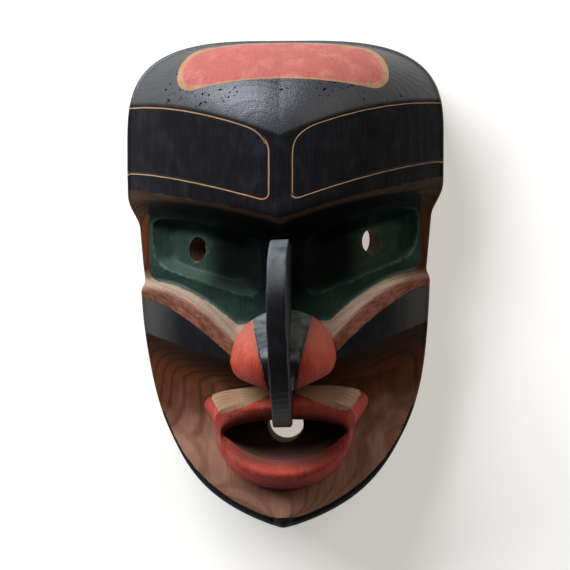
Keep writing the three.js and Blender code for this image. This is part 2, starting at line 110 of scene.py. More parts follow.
# The rounded edge all round.
EDGE_OVER, EDGE_OVER_CHIN, EDGE_DROP, EDGE_DROP_CHIN, EDGE_TUCK = 2, 5.2, 3.5, 9, 1
EDGE_CHIN_FROM, EDGE_CHIN_TO = -95, -132
RIM_WIDTH = 9

# The carver's lean and sway.
LEAN, LEAN_Y, LEAN_REACH = 0.045, 5, 100
SWAY, SWAY_Y, SWAY_REACH = 1.7, -75, 45

# Finishes, in the order of the mesh's material slots.
FACE, NOSE, BEAK, LIPS, MOUTH, TROUGH, LINE, BORE, BACK = range(9)


def mix(a, b, t):
    """The value a share t of the way from a to b."""
    return a + (b - a) * t


def smooth(low, high, value):
    """0 up to low, 1 from high on, and three t squared less two t cubed between them."""
    t = np.clip((value - low) / (high - low), 0, 1)
    return t * t * (3 - 2 * t)


def squared(value, squareness):
    """A sine or cosine made a squared oval's: its size is raised to 2 over the squareness."""
    return np.sign(value) * np.abs(value) ** (2 / squareness)


def half_width(y):
    """A squared arc above the shoulders, straight temples, and below them a jaw that closes like
    1 minus an exponential of the height above the chin."""
    y = np.asarray(y, float)
    up = np.clip((y - SHOULDER_Y) / CROWN_RISE, 0, 1)
    crown = FOREHEAD_HALF * (1 - up ** CROWN_SQUARENESS) ** (1 / CROWN_SQUARENESS)
    closing = 1 - np.exp(np.minimum((CHIN_Y - y) / JAW_FLARE, 0))
    jaw = JAW_HALF * closing ** JAW_FULLNESS
    temple = mix(TEMPLE_HALF_FOOT, TEMPLE_HALF_TOP, (y - TEMPLE_FOOT_Y) / (TEMPLE_NOTCH_Y - TEMPLE_FOOT_Y))
    brow = mix(temple, FOREHEAD_HALF, smooth(TEMPLE_NOTCH_Y, TEMPLE_TOP_Y, y))
    lower = mix(jaw, brow, smooth(JAW_TOP_Y, TEMPLE_FOOT_Y, y))
    return np.where(y > SHOULDER_Y, crown, lower)


def line_at(name, share):
    """Height and depth of a carved line: from its side height to its middle height as
    (1 - share) to the bend, and from its middle depth to its side depth as share to the arch."""
    side, middle, bend, z_middle, z_side, arch = LINES[name]
    share = np.asarray(share, float)
    along = np.maximum(share, NOSE_SHARE) if name in CHEEK_LINES else share
    return mix(side, middle, (1 - along) ** bend), mix(z_middle, z_side, share ** arch)


def band_at(band, share, t):
    """A point between two carved lines: a quarter ellipse, or a straight, hollow or swelling ramp."""
    upper_y, upper_z = line_at(NAMES[band], share)
    lower_y, lower_z = line_at(NAMES[band + 1], share)
    ease = BANDS[band][0]
    if ease == "dome":
        angle = (1 - t) * math.pi / 2
        return mix(lower_y, upper_y, np.sin(angle)), mix(upper_z, lower_z, np.cos(angle))
    ramp = {"straight": t, "cove": 1 - (1 - t) ** 2, "swell": t ** 2}[ease]
    return mix(upper_y, lower_y, t), mix(upper_z, lower_z, ramp)


def face_height(x, y):
    """Depth of the carved face at any point: the band whose two lines enclose the point gives it."""
    share = np.minimum(1, np.abs(x) / np.maximum(half_width(y), 1e-6))
    height = np.zeros(np.broadcast(x, y).shape)
    for band in range(len(BANDS)):
        upper_y, _ = line_at(NAMES[band], share)
        lower_y, _ = line_at(NAMES[band + 1], share)
        along = np.clip((upper_y - y) / (upper_y - lower_y), 0, 1)
        t = 1 - np.arcsin(1 - along) * 2 / math.pi if BANDS[band][0] == "dome" else along
        _, z = band_at(band, share, t)
        inside = (y <= upper_y) if band else np.ones_like(y, bool)
        height = np.where(inside, z, height)
    return height


def gouge_marks(x, y, cell, seed):
    """Shallow scoops of a gouge: on a jittered grid of centres, the squared distance to the nearest
    one, from 0 in a scoop's middle to about 0.6 where scoops meet, and never over 1."""
    random = np.random.default_rng(seed)
    jitter = random.uniform(0.15, 0.85, (64, 64, 2))
    u, v = np.asarray(x) / cell, np.asarray(y) / cell
    column, row = np.floor(u).astype(int), np.floor(v).astype(int)
    nearest = np.full(u.shape, 9.0)
    for across in (-1, 0, 1):
        for along in (-1, 0, 1):
            c, r = column + across, row + along
            centre = jitter[c % 64, r % 64]
            square = (c + centre[..., 0] - u) ** 2 + (r + centre[..., 1] - v) ** 2
            nearest = np.minimum(nearest, square)
    return np.minimum(nearest, 1)


def grid_faces(rows, columns, wrap=False):
    """Two triangles for each cell of a grid of points, row after row."""
    last = columns if wrap else columns - 1
    r, c = np.meshgrid(np.arange(rows - 1), np.arange(last), indexing="ij")
    a = (r * columns + c).ravel()
    b = (r * columns + (c + 1) % columns).ravel()
    return np.concatenate([
        np.stack([a, a + columns, b + columns], 1), np.stack([a, b + columns, b], 1)])


def fan(first, count, centre):
    """Triangles from a centre point to each step of a ring of points."""
    ring = first + np.arange(count)
    return np.stack([np.full(count, centre), ring, np.roll(ring, -1)], 1)


def mesh_object(name, points, faces, finish, materials):
    """A closed mesh from points in millimetres and triangles, turned if it came out inside out."""
    corners = points[faces]
    volume = np.einsum("ij,ij->i", corners[:, 0], np.cross(corners[:, 1], corners[:, 2])).sum()
    if volume < 0:
        faces = faces[:, ::-1]
    mesh = bpy.data.meshes.new(name)
    mesh.vertices.add(len(points))
    mesh.vertices.foreach_set("co", points.astype(np.float32).ravel())
    mesh.loops.add(faces.size)
    mesh.loops.foreach_set("vertex_index", faces.astype(np.int32).ravel())
    mesh.polygons.add(len(faces))
    mesh.polygons.foreach_set("loop_start", np.arange(0, faces.size, 3, dtype=np.int32))
    finishes = np.broadcast_to(finish, len(faces)).astype(np.int32)
    for material in materials:
        mesh.materials.append(material)
    mesh.polygons.foreach_set("material_index", np.ascontiguousarray(finishes))
    mesh.update(calc_edges=True)
    mesh.validate()
    piece = bpy.data.objects.new(name, mesh)
    bpy.context.scene.collection.objects.link(piece)
    return piece


def loft(name, loops, finish, materials):
    """A closed solid from a stack of loops, an array of (loops, points, 3), fanned at both ends."""
    rings, count = loops.shape[:2]
    ends = loops[[0, -1]].mean(axis=1)
    points = np.concatenate([loops.reshape(-1, 3), ends])
    top = fan(0, count, rings * count)
    foot = fan((rings - 1) * count, count, rings * count + 1)[:, ::-1]
    faces = np.concatenate([grid_faces(rings, count, True), top, foot])
    return mesh_object(name, points, faces, finish, materials)


def outward(loop):
    """Unit normals of a closed loop in the XY plane, from its neighbours, pointing out."""
    ahead = np.roll(loop, -1, axis=0) - np.roll(loop, 1, axis=0)
    normal = np.stack([ahead[:, 1], -ahead[:, 0]], 1)
    return normal / np.linalg.norm(normal, axis=1, keepdims=True)


def face_grid():
    """The carved front: columns at shares of the half width and rows down the bands, with the
    creases between bands eased by averaging each row with its neighbours."""
    u = np.linspace(-1, 1, 2 * COLUMNS_PER_SIDE + 1)
    shares = u * (1 + COLUMN_WIDENING * (1 - np.abs(u)))
    rows = []
    for band, (_, count) in enumerate(BANDS):
        for step in range(count):
            rows.append(np.stack(band_at(band, np.abs(shares), step / count), 1))
    rows.append(np.stack(band_at(len(BANDS) - 1, np.abs(shares), 1.0), 1))
    yz = np.array(rows)
    points = np.dstack([shares * half_width(yz[..., 0]), yz])
    brow = np.cumsum([count for _, count in BANDS])[2]
    around_brow = (brow - BROW_ROWS_ABOVE, brow + BROW_ROWS_BELOW, EASED_BROW)
    for first, last, times in ((1, -1, EASED_ALL), around_brow):
        for _ in range(times):
            middle = points[first:last]
            before, after = points[first - 1:last - 1], points[first + 1:][:len(middle)]
            points[first:last] = (before + 2 * middle + after) / 4
    x, y = points[..., 0], points[..., 1]
    share = np.abs(shares)[None, :]
    inland = np.minimum(1, (1 - share) * 12)
    ridge = np.exp(-np.abs(x) / RIDGE_REACH) * smooth(*RIDGE_TOP, y) * smooth(*RIDGE_FOOT, y)
    points[..., 2] += RIDGE_HEIGHT * ridge
    scoops = gouge_marks(x, y * 0.6, FACE_MARKS, 4) - MARK_LEVEL
    points[..., 2] += FACE_MARK_DEPTH * scoops * inland
    return points


def face_block(materials):
    """The front, its rounded edge, a side wall down to the rim, and a flat back."""
    grid = face_grid()
    rows, columns = grid.shape[:2]
    index = np.arange(rows * columns).reshape(rows, columns)
    border = np.concatenate([index[:-1, 0], index[-1, :-1], index[:0:-1, -1], index[0, :0:-1]])
    points = grid.reshape(-1, 3)
    edge = points[border]
    normal = outward(edge[:, :2])
    chin = smooth(EDGE_CHIN_FROM, EDGE_CHIN_TO, edge[:, 1])
    over = mix(EDGE_OVER, EDGE_OVER_CHIN, chin)
    drop = mix(EDGE_DROP, EDGE_DROP_CHIN, chin)
    rings = []
    for angle in np.radians([18, 36, 54, 72, 90]):
        out, fall = math.sin(angle), 1 - math.cos(angle)
        place = edge[:, :2] + normal * (over * out)[:, None]
        rings.append(np.column_stack([place, edge[:, 2] - drop * fall]))
    shoulder = rings[-1]
    for down in (0.2, 0.4, 0.6, 0.8, 1.0):
        place = edge[:, :2] + normal * (over - EDGE_TUCK * down)[:, None]
        rings.append(np.column_stack([place, shoulder[:, 2] * (1 - down)]))
    count = len(border)
    skirt = np.concatenate(rings)
    start = len(points)
    around = np.concatenate([border, start + np.arange(len(skirt))])
    ring_faces = around[grid_faces(len(rings) + 1, count, True)]
    every = np.concatenate([points, skirt, [[0, 0, 0]]])
    foot = fan(start + len(skirt) - count, count, len(every) - 1)
    front = grid_faces(rows, columns)
    faces = np.concatenate([front, ring_faces, foot[:, ::-1]])
    finish = np.concatenate([np.full(len(front) + len(ring_faces), FACE), np.full(len(foot), BACK)])
    return mesh_object("face", every, faces, finish, materials)


# The brow panels' incised lines.
PANEL_INNER_X, PANEL_OUTER_X, TOP_TURN_X, TOP_TURN_Y, FOOT_TURN_X, FOOT_TURN_Y = 7, 99, 14, 12, 6, 5
LINE_CUT_WIDTH, LINE_ABOVE, LINE_DEPTH, SIDE_SLOPE = 2.4, 0.5, 1.2, 1.2
LINE_WAVER, WAVER_STEP = 0.12, 0.9


def curve(start, control, end, steps):
    """A quadratic curve from start towards control to end."""
    t = np.linspace(0, 1, steps)[:, None]
    return (1 - t) ** 2 * start + 2 * t * (1 - t) * control + t ** 2 * end


def panel_line(side, materials):
    """The tool of one incised line: a V section carried along the panel's upper edge, round its
    two inner corners and back along its lower edge, at the depth of the face."""
    def on_line(name, x):
        """Points of a carved line at these distances from the middle."""
        x = np.array(x, float)
        y, _ = line_at(name, np.minimum(1, x / FOREHEAD_HALF))
        return np.stack([x, y], 1)

    top_turn, top_corner = on_line("panel_top", [PANEL_INNER_X + TOP_TURN_X, PANEL_INNER_X])
    foot_turn, foot_corner = on_line("panel_foot", [PANEL_INNER_X + FOOT_TURN_X, PANEL_INNER_X])
    down, up = top_corner - [0, TOP_TURN_Y], foot_corner + [0, FOOT_TURN_Y]
    upper = on_line("panel_top", np.linspace(PANEL_OUTER_X, top_turn[0], 40))
    lower = on_line("panel_foot", np.linspace(foot_turn[0], PANEL_OUTER_X, 40))
    straight = np.linspace(down, up, 12)[1:-1]
    path = np.concatenate([upper[:-1], curve(top_turn, top_corner, down, 12), straight,
                           curve(up, foot_corner, foot_turn, 10), lower[1:]])
    ahead = np.gradient(path, axis=0)
    ahead /= np.linalg.norm(ahead, axis=1, keepdims=True)
    across = np.stack([-ahead[:, 1], ahead[:, 0]], 1) * LINE_CUT_WIDTH / 2
    inside = np.minimum(path[:, 0], FOREHEAD_HALF)
    z = face_height(inside, path[:, 1]) - SIDE_SLOPE * (path[:, 0] - inside)
    waver = LINE_WAVER * np.sin(np.arange(len(path)) * WAVER_STEP + side)
    corners = []
    for k, lift in ((-1, LINE_ABOVE), (1, LINE_ABOVE), (0, -LINE_DEPTH)):
        place = path + across * (k + waver[:, None] * 0.3)
        corners.append(np.column_stack([side * place[:, 0], place[:, 1], z + lift]))
    return loft("line tool", np.stack(corners, 1), LINE, materials)


# The eye troughs, as shares of the band between socket_top and sill.
TROUGH_INNER, TROUGH_OUTER, TROUGH_SQUARENESS, TROUGH_DEPTH = 0.15, 0.93, 5, 10
# The scales of its ovals on the flat floor and up the wall, and where and how steeply the wall rises.
FLOOR_SCALES = (0.12, 0.25, 0.4, 0.52, 0.62)
WALL_SCALES = (0.67, 0.71, 0.75, 0.8, 0.85, 0.9, 0.94, 0.97)
WALL_FROM, WALL_BEND = 0.64, 1.25
HOLE_X, HOLE_Y, HOLE_WIDTH, HOLE_HEIGHT, HOLE_LENGTH = 53.5, 23, 11, 15, 60
HOLE_LEAN = {1: 0.65, -1: 1.25}


def trough_cutter(side, materials):
    """The tool of one eye trough: squared ovals that follow the band they lie in, from a flat floor
    up an easing wall to the face, and then clear of it."""
    band = NAMES.index("socket_top")
    middle, reach = (TROUGH_INNER + TROUGH_OUTER) / 2, (TROUGH_OUTER - TROUGH_INNER) / 2
    angle = np.linspace(0, 2 * math.pi, 121)[:-1] + 0.01

    def ring(scale, lift, cap=None):
        """One oval at a scale of the full one, lifted off the face, or flat at a cap."""
        share = middle + reach * scale * squared(np.cos(angle), TROUGH_SQUARENESS)
        t = 0.5 + 0.5 * scale * squared(np.sin(angle), TROUGH_SQUARENESS)
        upper, _ = line_at(NAMES[band], share)
        lower, _ = line_at(NAMES[band + 1], share)
        y = mix(upper, lower, t)
        x = share * half_width(y)
        z = np.full_like(x, cap) if cap else face_height(x, y) + lift
        if not cap and scale < 1:
            z = z + TROUGH_MARK_DEPTH * (gouge_marks(x, y, TROUGH_MARKS, 9) - MARK_LEVEL)
        return np.stack([side * x, y, z], 1)

    loops = [ring(scale, -TROUGH_DEPTH) for scale in FLOOR_SCALES]
    for scale in WALL_SCALES:
        risen = ((scale - WALL_FROM) / (1 - WALL_FROM)) ** WALL_BEND
        loops.append(ring(scale, -TROUGH_DEPTH * (1 - risen)))
    loops += [ring(1, 0), ring(1.03, 1.4), ring(1.08, 6), ring(1.08, 0, 130)]
    return loft("trough tool", np.array(loops), TROUGH, materials)


def tube(centre, radius_x, radius_y, length, lean, finish, materials, sides=56):
    """An oval rod along Z, as a tool. Its sections step sideways by `lean` for each one of depth."""
    angle = np.linspace(0, 2 * math.pi, sides + 1)[:-1][None, :]
    z = np.linspace(-length / 2, length / 2, 7)[:, None]
    x = np.cos(angle) * radius_x + lean * z
    y = np.sin(angle) * radius_y + 0 * z
    loops = np.stack([x, y, z + 0 * angle], 2) + np.array(centre, float)
    return loft("bore tool", loops, finish, materials)


def eye_hole(side, materials):
    """The tool of one eye hole, leaning outwards as it comes forward. The trough's floor falls away
    outwards, so the rod is widened until it leaves the named width on that floor."""
    def depth(x):
        """Depth of the face at the hole's height."""
        return face_height(np.array([x]), np.array([HOLE_Y]))[0]

    fall = (depth(HOLE_X - HOLE_WIDTH / 2) - depth(HOLE_X + HOLE_WIDTH / 2)) / HOLE_WIDTH
    half = HOLE_WIDTH / 2 * (1 + fall * HOLE_LEAN[side])
    centre = (side * HOLE_X, HOLE_Y, depth(HOLE_X) - TROUGH_DEPTH)
    return tube(centre, half, HOLE_HEIGHT / 2, HOLE_LENGTH, side * HOLE_LEAN[side], BORE, materials)


# The nose.
NOSE_HALF, NOSE_TOP_Y, NOSE_TOP_TURN = 31.5, -15.6, 29
NOSE_FOOT_Y, NOSE_FOOT_RISE, NOSE_FOOT_TURN, NOSE_FOOT_BEND = -64.7, 11.8, 6.5, 18
NOSE_BACK_Z, NOSE_EDGE_Z, NOSE_PEAK_Z = 52, 72, 110
NOSE_WING_DROP, NOSE_WING_BEND, NOSE_PEAK_AT, NOSE_SWELL, NOSE_SAG = 30, 2.2, 0.62, 0.9, 0.3
# Where the red of a nostril starts, as half widths at heights.
NOSTRIL_Y = (-66, -58, -48, -40, -24, -16)
NOSTRIL_X = (6.5, 8.5, 10.8, 12.8, 17, 20)
# How far a nostril stands up at its edge and in its middle, and how far the black sinks between them.
NOSTRIL_STEP, NOSTRIL_LOBE, BLACK_SINK = 1.1, 1.3, 0.9


def nose_body(materials):
    """A grid from wing to wing. Down each column the front rises as a sine to its peak and sags
    under it, the peak falls off towards the wings, and each nostril stands proud of the middle."""
    wing = np.sin(np.linspace(-1, 1, 97) * math.pi / 2)
    size = np.minimum(0.999, np.abs(wing))
    x = wing * NOSE_HALF
    top = NOSE_TOP_Y - NOSE_TOP_TURN * (1 - np.sqrt(1 - size ** 2))
    foot = NOSE_FOOT_Y + NOSE_FOOT_RISE * size + NOSE_FOOT_TURN * size ** NOSE_FOOT_BEND
    peak = NOSE_PEAK_Z - NOSE_WING_DROP * size ** NOSE_WING_BEND
    t = np.linspace(0, 1, 45)[:, None]
    rise = np.sin(np.minimum(1, t / NOSE_PEAK_AT) * math.pi / 2) ** NOSE_SWELL
    sag = NOSE_SAG * (np.maximum(0, t - NOSE_PEAK_AT) / (1 - NOSE_PEAK_AT)) ** 2
    y = mix(top, foot, t)
    z = mix(NOSE_EDGE_Z, peak, rise - sag)
    inner = np.interp(y, NOSTRIL_Y, NOSTRIL_X)
    past = np.abs(x)[None, :] - inner
    width = np.maximum(NOSE_HALF - inner, 1)
    lobe = np.sin(np.clip(past / width, 0, 1) * math.pi) ** 0.8
    step = smooth(-0.9, 0.5, past)
    stands = step * (NOSTRIL_STEP + NOSTRIL_LOBE * lobe) * smooth(0, 0.12, t)
    z = z + stands - BLACK_SINK * (1 - step)
    front = np.stack([np.broadcast_to(x, y.shape), y, z], 2)
    foot_ring = np.stack([x, foot, np.full_like(x, NOSE_BACK_Z)], 1)[None]
    middle_ring = np.stack([x, mix(foot, top, 0.15), np.full_like(x, NOSE_BACK_Z)], 1)[None]
    top_ring = np.stack([x, top, np.full_like(x, NOSE_BACK_Z)], 1)[None]
    loops = np.concatenate([front, foot_ring, middle_ring, top_ring]).transpose(1, 0, 2)
    return loft("nose", loops, NOSE, materials)


# The beak.
BEAK_WIDTH, BEAK_ROOT_Z, BEAK_TOP_Y, BEAK_TOP_Z, BEAK_FRONT_Y, BEAK_FRONT_Z = 11.2, 58, 26.4, 94, -10, 141
BEAK_TIP_Y, BEAK_TIP_FRONT_Z, BEAK_TIP_BACK_Z, BEAK_THROAT_Y, BEAK_THROAT_Z = -84, 95, 84, -60, 76
BEAK_ROOT_INSET, BEAK_THROAT_CURVE, BEAK_THROAT_INSET = 4, 6, 8
BEAK_EDGE_RADIUS = 1.1
# Its sideways waver is two sines of the height: how far each goes, its pace and its start.
BEAK_WAVERS = ((0.12, 0.33, 0), (0.1, 0.11, 1))


def cubic(a, b, c, d, steps):
    """A cubic curve with end points a and d and handles b and c."""
    t = np.linspace(0, 1, steps)[:, None]
    a, b, c, d = (np.array(p, float) for p in (a, b, c, d))
    return (1 - t) ** 3 * a + 3 * t * (1 - t) ** 2 * b + 3 * t ** 2 * (1 - t) * c + t ** 3 * d


def beak_profile():
    """The beak from the side: up its root, over the hump, down to the hook's tip and back up the
    throat, as (y, z) points a millimetre or two apart."""
    hump = cubic((BEAK_TOP_Y, BEAK_TOP_Z), (BEAK_TOP_Y, mix(BEAK_TOP_Z, BEAK_FRONT_Z, 0.55)),
                 (mix(BEAK_FRONT_Y, BEAK_TOP_Y, 0.55), BEAK_FRONT_Z), (BEAK_FRONT_Y, BEAK_FRONT_Z), 36)
    hook = cubic((BEAK_FRONT_Y, BEAK_FRONT_Z), (mix(BEAK_FRONT_Y, BEAK_TIP_Y, 0.45), BEAK_FRONT_Z),
                 (mix(BEAK_FRONT_Y, BEAK_TIP_Y, 0.84), mix(BEAK_TIP_FRONT_Z, BEAK_FRONT_Z, 0.6)),
                 (BEAK_TIP_Y, BEAK_TIP_FRONT_Z), 48)
    root = np.linspace((BEAK_TOP_Y - BEAK_ROOT_INSET, BEAK_ROOT_Z), (BEAK_TOP_Y, BEAK_TOP_Z), 20)
    tip = np.linspace((BEAK_TIP_Y, BEAK_TIP_FRONT_Z), (BEAK_TIP_Y, BEAK_TIP_BACK_Z), 9)
    bend = np.array([BEAK_THROAT_Y - BEAK_THROAT_CURVE, BEAK_THROAT_Z + BEAK_THROAT_CURVE])
    throat = curve(tip[-1], bend, np.array([BEAK_THROAT_Y, BEAK_THROAT_Z]), 24)
    back = np.linspace(throat[-1], (BEAK_THROAT_Y + BEAK_THROAT_INSET, BEAK_ROOT_Z), 12)
    return np.concatenate([root[:-1], hump[:-1], hook[:-1], tip[:-1], throat[:-1], back])


def beak(materials):
    """The profile carried across the beak's width, drawn in a little at both sides so that its
    long edges are rounded as a knife and much handling leave them."""
    profile = beak_profile()
    normal = outward(profile)
    ahead = np.roll(profile, -1, axis=0)
    area = (profile[:, 0] * ahead[:, 1] - ahead[:, 0] * profile[:, 1]).sum() / 2
    normal *= math.copysign(1, area)
    turn = np.radians(np.linspace(0, 90, 6))
    across = BEAK_WIDTH / 2 - BEAK_EDGE_RADIUS + BEAK_EDGE_RADIUS * np.sin(turn)
    inset = BEAK_EDGE_RADIUS * (1 - np.cos(turn))
    right = list(zip(across, inset))
    left = [(-a, i) for a, i in reversed(right)]
    middle = [(a, 0.0) for a in np.linspace(-across[0], across[0], 9)[1:-1]]
    waver = sum(reach * np.sin(profile[:, 0] * pace + start) for reach, pace, start in BEAK_WAVERS)
    loops = []
    for x, i in left + middle + right:
        place = profile - normal * i
        loops.append(np.column_stack([x + waver, place]))
    return loft("beak", np.array(loops), BEAK, materials)


# The muzzle: rings of half width, centre height, reach up and down, squareness above and below, how far
# the lower half is drawn up into pointed corners, how far the upper half widens towards its top, and the
# depths at the top, the sides and the foot.
MUZZLE = np.array([
    (37, -90.3, 8.4, 16, 2, 2, 1.7, 0, 72, 66, 72),
    (38, -90.3, 12.5, 20.2, 2.1, 2.1, 1.4, 0, 80.5, 69, 76.5),
    (39, -90.2, 17, 25, 2.4, 2.15, 1.15, 0.05, 84.5, 70, 78.5),
    (40.6, -90, 20.5, 33, 2.8, 2.1, 1, 0.2, 82.5, 68, 72),
    (41.8, -88, 25.5, 37, 2.8, 2.05, 1, 0.56, 61, 50, 66),
    (42.2, -88, 26, 37.5, 2.8, 2.05, 1, 0.56, 38, 38, 38),
], float)
MOUTH_CAVITY = np.array([
    (37.4, -90.3, 8.8, 16.4, 2, 2, 1.7, 0, 140, 140, 140),
    (37.2, -90.3, 8.6, 16.2, 2, 2, 1.7, 0, 71.5, 65.5, 71.5),
    (33, -90.5, 8, 13, 2, 2, 1.4, 0, 58, 56, 58),
    (24, -90, 7, 9.5, 2, 2, 1, 0, 45, 46, 45),
], float)
FLARE_BEND = 1.1
MOUTH_HOLE_X, MOUTH_HOLE_Y, MOUTH_HOLE_Z, MOUTH_HOLE_RADIUS, MOUTH_HOLE_LENGTH = -0.6, -87.5, 33.5, 11, 57


def oval(ring, sides=168):
    """A squared oval with its own reach, squareness and depth above and below its centre line. The
    lower half's height is raised to a power that draws its ends up into two corners, and the upper
    half's width grows with a power of its height."""
    half, centre, up, down, square_up, square_down, point, flare, z_up, z_side, z_down = ring
    angle = np.linspace(0, 2 * math.pi, sides + 1)[:-1]
    c, s = np.cos(angle), np.sin(angle)
    above = s > 0
    square = np.where(above, square_up, square_down)
    rise = squared(s, np.where(above, square, square / point))
    x = half * squared(c, square) * (1 + flare * np.maximum(rise, 0) ** FLARE_BEND)
    y = centre + np.where(above, up, down) * rise
    return np.stack([x, y, mix(z_side, np.where(above, z_up, z_down), s * s)], 1)


def eased(stations, steps, ease):
    """Rings between stations, on a curve through them that takes its slope at each from its
    neighbours, where ease is 1, or straight from one to the next where it is 0."""
    slope = np.gradient(stations, axis=0)
    rings = []
    for k, count in enumerate(steps):
        t = np.arange(count)[:, None] / count
        a, b, da, db = stations[k], stations[k + 1], slope[k], slope[k + 1]
        bent = ((2 * t ** 3 - 3 * t ** 2 + 1) * a + (t ** 3 - 2 * t ** 2 + t) * da
                + (3 * t ** 2 - 2 * t ** 3) * b + (t ** 3 - t ** 2) * db)
        rings.append(mix(mix(a, b, t), bent, ease))
    return np.concatenate(rings + [stations[-1:]])


def muzzle(materials):
    """The lips: their rings roll outwards on a curve and then go straight down into the face, and
    a knife has marked all but the first and the lowest."""
    rolled = eased(MUZZLE[:4], (10, 10, 10), 1)
    sides = eased(MUZZLE[3:], (14, 5), 0)[1:]
    loops = np.array([oval(ring) for ring in np.concatenate([rolled, sides])])
    marks = gouge_marks(loops[..., 0], loops[..., 1], LIP_MARKS, 21) - MARK_LEVEL
    loops[1:-5, :, 2] += LIP_MARK_DEPTH * marks[1:-5]
    return loft("muzzle", loops, LIPS, materials)


def mouth_cavity(materials):
    """The tool that hollows the mouth: ovals that shrink into the head on a curve, and are drawn
    in to their middle at the end."""
    rings = np.concatenate([MOUTH_CAVITY[:1], eased(MOUTH_CAVITY[1:], (8, 8), 1)])
    loops = [oval(ring, 120) for ring in rings]
    loops += [mix(loops[-1], loops[-1].mean(axis=0), t) for t in (0.3, 0.6, 0.85)]
    return loft("mouth tool", np.array(loops), MOUTH, materials)


# The hollow behind the face.
HOLLOW_Y, DEPTH_BROW, DEPTH_EYES, DEPTH_JAW, BROW_Y, EYES_Y, HOLLOW_JAW_Y = 4, 72, 46, 32, 75, 20, -70
HOLLOW_ROUNDNESS, HOLLOW_FULLNESS = 2.6, 0.95
HOLLOW_SCALES = (1, 0.985, 0.965, 0.94, 0.91, 0.88, 0.84, 0.79, 0.73, 0.66, 0.58, 0.49, 0.4, 0.31, 0.22,
                 0.13, 0.06)
ADZE_CELL, ADZE_DEPTH = 13, 0.9


def hollow(materials):
    """Loops that shrink from the rim's inner edge to the deepest place. Their depth is 1 minus a
    power of the scale, raised to another power, times a depth that changes from brow to jaw, less
    the marks of an adze."""
    side, middle = LINES["chin"][0], CROWN_Y
    step = np.linspace(0, math.pi, 60)
    y = mix(side, middle, 0.5 - 0.5 * np.cos(step))
    right = np.stack([half_width(y), y], 1)
    outline = np.concatenate([right, (right * [-1, 1])[::-1]])
    rim = outline + outward(outline) * (EDGE_OVER - EDGE_TUCK - RIM_WIDTH)
    loops = [np.column_stack([rim, np.full(len(rim), -6.0)])]
    for scale in HOLLOW_SCALES:
        place = np.column_stack([rim[:, 0] * scale, mix(HOLLOW_Y, rim[:, 1], scale)])
        upper = mix(DEPTH_EYES, DEPTH_BROW, smooth(EYES_Y, BROW_Y, place[:, 1]))
        deepest = mix(DEPTH_JAW, upper, smooth(HOLLOW_JAW_Y, EYES_Y, place[:, 1]))
        z = deepest * (1 - scale ** HOLLOW_ROUNDNESS) ** HOLLOW_FULLNESS
        marks = gouge_marks(place[:, 0], place[:, 1], ADZE_CELL, 33)
        z = z - ADZE_DEPTH * marks * min(1, (1 - scale) * 10)
        loops.append(np.column_stack([place, np.maximum(z, 0)]))
    return loft("hollow tool", np.array(loops), BACK, materials)


# Vertices that the cuts leave nearer to each other than this, in millimetres, become one.
WELD = 0.001
# Edges that turn by more degrees than this look sharp.
SHARP_TURN = 34


def carve(materials):
    """Cuts and joins the block and its tools in carving order. Then vertices nearer than WELD become
    one, and faces with more than three corners are cut into triangles."""
    face = face_block(materials)
    work = [("DIFFERENCE", trough_cutter(1, materials)), ("DIFFERENCE", trough_cutter(-1, materials)),
            ("DIFFERENCE", panel_line(1, materials)), ("DIFFERENCE", panel_line(-1, materials)),
            ("UNION", muzzle(materials)), ("DIFFERENCE", mouth_cavity(materials)),
            ("UNION", nose_body(materials)), ("UNION", beak(materials)), ("DIFFERENCE", hollow(materials))]
    breath = tube((MOUTH_HOLE_X, MOUTH_HOLE_Y, MOUTH_HOLE_Z), MOUTH_HOLE_RADIUS, MOUTH_HOLE_RADIUS,
                  MOUTH_HOLE_LENGTH, 0, MOUTH, materials)
    work.append(("DIFFERENCE", breath))
    work += [("DIFFERENCE", eye_hole(side, materials)) for side in (1, -1)]
    for operation, tool in work:
        cut = face.modifiers.new(tool.name, "BOOLEAN")
        cut.operation = operation
        cut.object = tool
        cut.solver = "MANIFOLD"
    mesh = bpy.data.meshes.new_from_object(face.evaluated_get(bpy.context.evaluated_depsgraph_get()))
    for piece in [face] + [tool for _, tool in work]:
        bpy.data.objects.remove(piece)
    welded = bmesh.new()
    welded.from_mesh(mesh)
    bmesh.ops.remove_doubles(welded, verts=welded.verts, dist=WELD)
    bmesh.ops.dissolve_degenerate(welded, edges=welded.edges, dist=WELD)
    bmesh.ops.triangulate(welded, faces=welded.faces, quad_method="LONG_EDGE", ngon_method="BEAUTY")
    welded.to_mesh(mesh)
    welded.free()
    return mesh


def rounded_corner(a, b, radius):
    """The distance inside two edges at once, with their corner rounded."""
    return radius - np.hypot(np.maximum(radius - a, 0), np.maximum(radius - b, 0))


def inside_outline(x, y, corners):
    """Signed distance to a closed outline, positive inside."""
    start = np.array(corners, float)
    end = np.roll(start, -1, axis=0)
    nearest = np.full(x.shape, 1e9)
    crossings = np.zeros(x.shape, int)
    for (ax, ay), (bx, by) in zip(start, end):
        t = np.clip(((x - ax) * (bx - ax) + (y - ay) * (by - ay)) / ((bx - ax) ** 2 + (by - ay) ** 2), 0, 1)
        nearest = np.minimum(nearest, np.hypot(x - mix(ax, bx, t), y - mix(ay, by, t)))
        if ay != by:
            spans = (ay > y) != (by > y)
            crossings += spans & (x < ax + (bx - ax) * (y - ay) / (by - ay))
    return np.where(crossings % 2 == 1, nearest, -nearest)


# The bare wood over the lips, on the right half, mirrored to the left. Its upper side runs on past
# the lips, where the muzzle is hidden.
BARE_EDGE = [(6, -66), (11.4, -67.5), (20.5, -71), (31.8, -75.5), (38.5, -77.5), (45, -69.5),
             (46.5, -56), (6, -56)]
# How far the green runs on below the line under the eyes.
GREEN_OVERRUN = 1.8
# How far out from the centre the green in the eye troughs is painted near-black as the shade beside the
# beak.
DARK_REACH = 42
